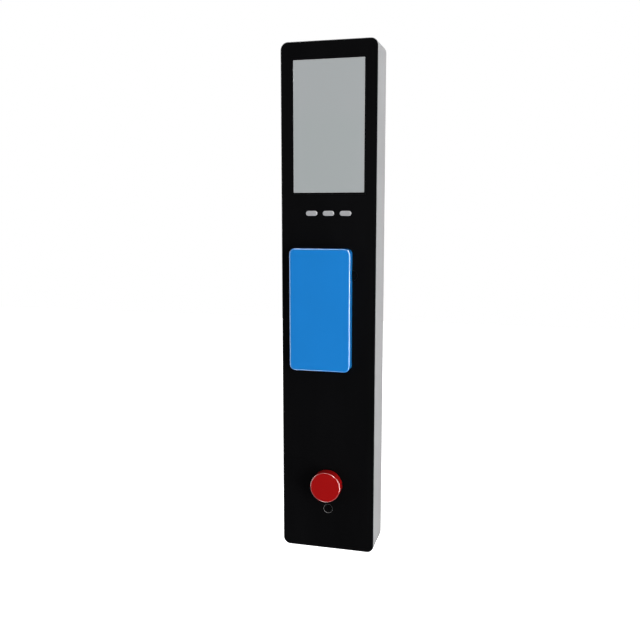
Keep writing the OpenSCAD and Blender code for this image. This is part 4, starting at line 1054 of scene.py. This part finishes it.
def make_power_supply():
    """Switched supply: a perforated cover over a folded case, with a barrier terminal strip."""
    low, high, middle = extent("power_supply")
    strip = low.z + 14              # top of the terminal strip
    inside = low.y + 1.2            # back of the cover
    wall = 1.5
    floor = high.y - wall + 0.1
    upper = Vector((low.x, low.y, strip))
    holes = [circle((-38.5 + column * 7 + 3.5 * (row % 2), middle.z - 14 + row * 6.1), 2.1, 14)
             for row in range(8) for column in range(11 if row % 2 else 12)]
    cover = Build().plate([footprint(upper, high, wall, 5)] + holes, low.y, inside, 0.2, 2)
    cover.piece("supply_cover", "cabinet", "plated_steel", "power_supply")
    case = Build().plate([footprint(upper, high, wall, 5), footprint(upper, high, 0.8, 5, wall)],
                         inside, high.y - wall, 0.1, 2)
    case.box((low.x, high.y - wall, low.z), high, 0.2)
    for x in (low.x, high.x - wall):
        case.box((x, inside, low.z), (x + wall, floor, strip + 0.2), 0.2)
    case.piece("supply_case", "cabinet", "plated_steel")
    coils = Build()
    for x, z, w, h, d in ((-40, -6, 32, 36, 22), (6, 4, 24, 28, 26), (6, -24, 28, 20, 18),
                          (-36, -26, 20, 16, 24)):
        coils.box((x, high.y - d, middle.z + z), (x + w, floor, middle.z + z + h), 0.6)
    coils.piece("supply_coils", "cabinet", "dark_plastic")
    seat = low.y + 16
    poles = 5
    pitch = 16
    block = Build().box((-42, seat, low.z + 0.5), (42, floor, strip - 0.3), 0.4)
    for pole in range(poles + 1):
        x = (pole - poles / 2) * pitch
        block.box((x - 1, low.y + 6, low.z + 0.5), (x + 1, seat + 0.2, strip - 0.3), 0.3)
    block.piece("supply_barrier", "cabinet", "dark_plastic")
    spots = [((pole + 0.5 - poles / 2) * pitch, low.z + 7) for pole in range(poles)]
    slotted_screws("supply_screws", spots, 4, seat - 4, seat + 0.2)


def make_terminals():
    """Row of eight double terminals on a steel rail."""
    low, high, middle = extent("terminal_block")
    rail_front = high.y - 7.5
    rail = Build().box((low.x, high.y - 1, middle.z - 8), (high.x, high.y, middle.z + 8), 0.2)
    for lift in (-7, 7):
        rail.box((low.x, rail_front, middle.z + lift - 1), (high.x, high.y - 0.9, middle.z + lift + 1), 0.3)
    rail.piece("terminal_rail", "cabinet", "plated_steel", "terminal_block")
    poles = 8
    pitch = 9
    half = pitch / 2 - 0.1
    step = low.y + 4
    blocks = Build()
    spots = []
    for pole in range(poles):
        x = (pole + 0.5 - poles / 2) * pitch
        wells = [(x, middle.z - 5), (x, middle.z + 5)]
        blocks.plate([rounded_rect(2 * half, high.z - low.z, 0.6, x, middle.z, 4)]
                     + [circle(well, 2.3, 24) for well in wells], low.y, step, 0.3)
        blocks.box((x - half, step - 0.1, low.z), (x + half, rail_front, high.z), 0.3)
        spots += wells
    blocks.piece("terminal_poles", "cabinet", "grey_plastic")
    slotted_screws("terminal_screws", spots, 1.9, step - 1.6, step + 0.2)


def make_modem():
    """Finned case with two threaded aerial sockets below and four lamps."""
    low, high, middle = extent("modem")
    bottom = low.z + 9
    front = low.y + 2
    case = Build().plate([footprint((low.x, low.y, bottom), high, 4, 8)], front, high.y, 0.8, 4)
    for fin in range(7):
        x = low.x + 3 + fin * 8.5
        case.box((x, low.y, bottom + 6), (x + 3, front + 0.2, high.z - 6), 0.5)
    case.piece("modem_case", "cabinet", "grey_plastic", "modem")
    sockets = Build()
    for x in (-16, 16):
        spot = (x, middle.y)
        sockets.rod(spot, "Z", 3, low.z, bottom + 0.2, 0.3, 40)
        sockets.rod(spot, "Z", 4.2, bottom - 1.6, bottom + 0.1, 0.2, 6)
    sockets.piece("modem_sockets", "cabinet", "brass")
    lamps = Build()
    for x in (-9, -3, 3, 9):
        lamps.rod((x, high.z - 3), "Y", 1, front - 0.4, front + 0.2, 0.2, 20)
    lamps.piece("modem_lamps", "cabinet", "light_plastic")


def make_grommet():
    low, high, _ = extent("cable_grommet")
    bore = 6
    lip = (high.x - low.x) / 2
    neck = lip - 3
    step = low.y + 4
    profile = filleted([(bore, low.y, 0.8), (lip, low.y, 1.4), (lip, step, 0.6), (neck, step, 0.2),
                        (neck, high.y, 0.4), (bore, high.y, 0.6)], 5, ring=True)
    grommet = Build().turned(spot_of("cable_grommet"), "Y", profile, ring=True)
    grommet.piece("cable_grommet_shown", "cabinet", "rubber", "cable_grommet")


def make_loom():
    """Sheathed supply leads from the power supply down the right side to the printer."""
    supply = extent("power_supply")[0]
    chassis = extent("printer_chassis")[1]
    wall = extent("power_loom")[1].x - 2.4
    start = supply.y + 3
    end = chassis.z - 12
    corners = [(30, start, supply.z + 9), (30, start, supply.z - 4), (34, start + 5, supply.z - 12),
               (50, -12, supply.z - 20), (wall, -7, supply.z - 32), (wall, -7, -86),
               (wall, -7, end + 34), (wall - 4, -8, end + 20), (wall - 14, -10, end + 12),
               (chassis.x + 4, -12, end), (chassis.x + 3, -12, end - 10)]
    route = smooth_route(corners, 10)
    Build().tube(route, 2.3, 16).piece("power_loom_shown", "cabinet", "cable_sheath", "power_loom")
    ties = Build()
    for share in (0.2, 0.42, 0.55, 0.68, 0.86):
        i = int(share * len(route))
        ahead = (route[i + 1] - route[i]).normalized() * 1.2
        ties.tube([route[i] - ahead, route[i] + ahead], 2.55, 16)
    ties.piece("loom_ties", "cabinet", "light_plastic")


def make_seal():
    low, high, _ = extent("door_seal")
    r = 10.5
    width = 3
    loops = [footprint(low, high, r), footprint(low, high, r - width, within=width)]
    Build().plate(loops, low.y, high.y, 1.2, 5).piece("door_seal_shown", "cabinet", "rubber", "door_seal")


# ---- Printer -------------------------------------------------------------------------------

def make_roll():
    """Paper wound on its card core."""
    low, high, middle = extent("paper_roll")
    r = (high.z - low.z) / 2
    core = 8.26
    profile = filleted([(core, low.x, 0), (r, low.x, 0.4), (r, high.x, 0.4), (core, high.x, 0)], 3, ring=True)
    roll = Build().turned((middle.y, middle.z), "X", profile, 160, ring=True)
    roll.piece("paper_roll_shown", "roll", "paper", "paper_roll")


def make_paper_path():
    """Web of paper that leaves the roll's back and runs down past the platen to the cutter."""
    low, high, roll = extent("paper_roll")
    platen = extent("platen_roller")[2]
    thick = 0.09
    web = -16 - 0.12        # where the web hangs, just behind the platen
    r = (high.z - low.z) / 2 + 0.12
    angles = [math.radians(degrees) for degrees in range(60, -10, -10)]
    path = [(roll.y + r * math.cos(angle), roll.z + r * math.sin(angle)) for angle in angles]
    path += [(web + 0.07, roll.z - 30), (web, platen.z + 12), (web, platen.z - 12)]
    count = len(path)
    rings = []
    sheet = Build()
    for x, shift in ((low.x, -thick / 2), (low.x, thick / 2), (high.x, thick / 2), (high.x, -thick / 2)):
        rings.append(len(sheet.points))
        sheet.points += [(x, y + shift, z) for y, z in path]
    for i in range(count - 1):
        for a, b in zip(rings, rings[1:] + rings[:1]):
            sheet.faces.append((a + i, b + i, b + i + 1, a + i + 1))
    sheet.faces += [tuple(rings), tuple(ring + count - 1 for ring in rings)]
    sheet.piece("paper_web", "cabinet", "paper")


def make_print_head():
    """Thermal head: a ceramic strip with its heating line, on a finned sink."""
    low, high, middle = extent("print_head")
    ceramic = low.y + 1.2
    base = low.y + 4
    Build().box(low, (high.x, ceramic, high.z), 0.15).piece("head_ceramic", "cabinet", "light_plastic",
                                                            "print_head")
    sink = Build().box((low.x, ceramic, low.z), (high.x, base, high.z), 0.3)
    for fin in range(-3, 4):
        sink.box((fin * 9 - 2, base - 0.1, low.z), (fin * 9 + 2, high.y, high.z), 0.3)
    sink.piece("head_sink", "cabinet", "plated_steel")
    line = Build().plate([rounded_rect(high.x - low.x - 16, 0.9, 0.4, middle.x, middle.z, 3)],
                         low.y - 0.02, low.y + 0.2, 0.05, 2)
    line.piece("head_line", "cabinet", "dark_plastic")


def make_platen():
    """Rubber sleeve on a steel shaft."""
    low, high, middle = extent("platen_roller")
    spot = (middle.y, middle.z)
    r = (high.z - low.z) / 2
    half = 28.5
    shaft_r = 2.5
    bore = shaft_r - 0.1
    sleeve = filleted([(bore, -half, 0), (r, -half, 0.5), (r, half, 0.5), (bore, half, 0)], 4, ring=True)
    rubber_part = Build().turned(spot, "X", sleeve, ring=True)
    rubber_part.piece("platen_rubber", "platen", "rubber", "platen_roller")
    Build().rod(spot, "X", shaft_r, low.x, high.x, 0.3).piece("platen_shaft", "platen", "polished_steel")


def make_motor():
    """Round can with a rolled groove, its front boss and its plug."""
    low, high, middle = extent("printer_motor")
    r = (high.z - low.z) / 2
    can = high.x - 20
    groove_r = r - 0.3
    boss_r = 3.5
    profile = filleted([(0, can - 1.5, 0), (boss_r, can - 1.5, 0.4), (boss_r, can, 0.3), (r, can, 1.2),
                        (r, can + 3, 0.15), (groove_r, can + 3.2, 0.1), (groove_r, can + 3.8, 0.1),
                        (r, can + 4, 0.1), (r, high.x, 0.4), (0, high.x, 0)], 4)
    case = Build().turned((middle.y, middle.z), "X", profile)
    case.piece("motor_can", "cabinet", "plated_steel", "printer_motor")
    end = can + 0.05
    plug = Build().box((low.x, middle.y - 4, middle.z - 5), (end, middle.y + 4, middle.z - 0.8), 0.4)
    plug.box((low.x + 1.4, middle.y - 6, middle.z + 1), (end, middle.y + 6, middle.z + 6), 0.4)
    plug.piece("motor_plug", "cabinet", "light_plastic")


def make_catch():
    """Magnet case with two steel poles that reach the striker plate."""
    low, high, middle = extent("catch_magnet")
    front = high.y - 10
    case = Build().box((high.x - 8, front, low.z), high, 0.6)
    case.piece("catch_case", "cabinet", "dark_plastic", "catch_magnet")
    poles = Build()
    for lift in (-6, 6):
        z = middle.z + lift
        poles.box((low.x + 1, low.y, z - 3), (high.x - 3.5, front + 0.1, z + 3), 0.3)
    poles.piece("catch_poles", "cabinet", "polished_steel")


# ---- Assembly ------------------------------------------------------------------------------

SOFTENED = {            # bevel in millimetres on each CAD node that keeps its own shape
    "housing_shell": 0.5, "back_plate": 0.3, "door_frame": 0.5, "hinge_lugs": 0.5, "hinge_screws": 0.4,
    "earth_stud": 0.25, "roll_bracket": 0.3, "roll_spindle": 0.5, "printer_chassis": 0.3,
    "printer_screws": 0.25, "head_spring": 0.1, "platen_gear": 0.12, "motor_pinion": 0.12,
    "cutter_body": 0.4, "cutter_blade": 0.12, "chute_channel": 0.3, "chute_cover": 0.3,
    "outlet_bezel": 0.6, "latch_keeper": 0.4, "hinge_pins": 0.4, "panel_studs": 0.25,
    "display_bracket": 0.3, "bracket_nuts": 0.25, "reader_base": 0.3, "reader_screws": 0.25,
    "sensor_nut": 0.4, "button_nut": 0.5, "lock_nut": 0.4, "lock_plug": 0.2, "lock_cam": 0.3,
    "catch_plate": 0.3, "lcd_module": 0.3, "roll_core": 0.2,
}

place_camera()
surround_studio()
light_studio()
place_floor()
bpy.context.scene.view_settings.view_transform = "Standard"

for node, width in SOFTENED.items():
    softened(node, width, slot="black_panel" if node == "lock_plug" else None)
for make in (make_front_panel, make_display, make_keys, make_reader, make_reader_board, make_sensor,
             make_button, make_button_spring, make_button_contacts, make_lock, make_controller_board,
             make_key_board, make_display_back, make_power_supply, make_terminals, make_modem,
             make_grommet, make_loom, make_seal, make_roll, make_paper_path, make_print_head,
             make_platen, make_motor, make_catch):
    make()
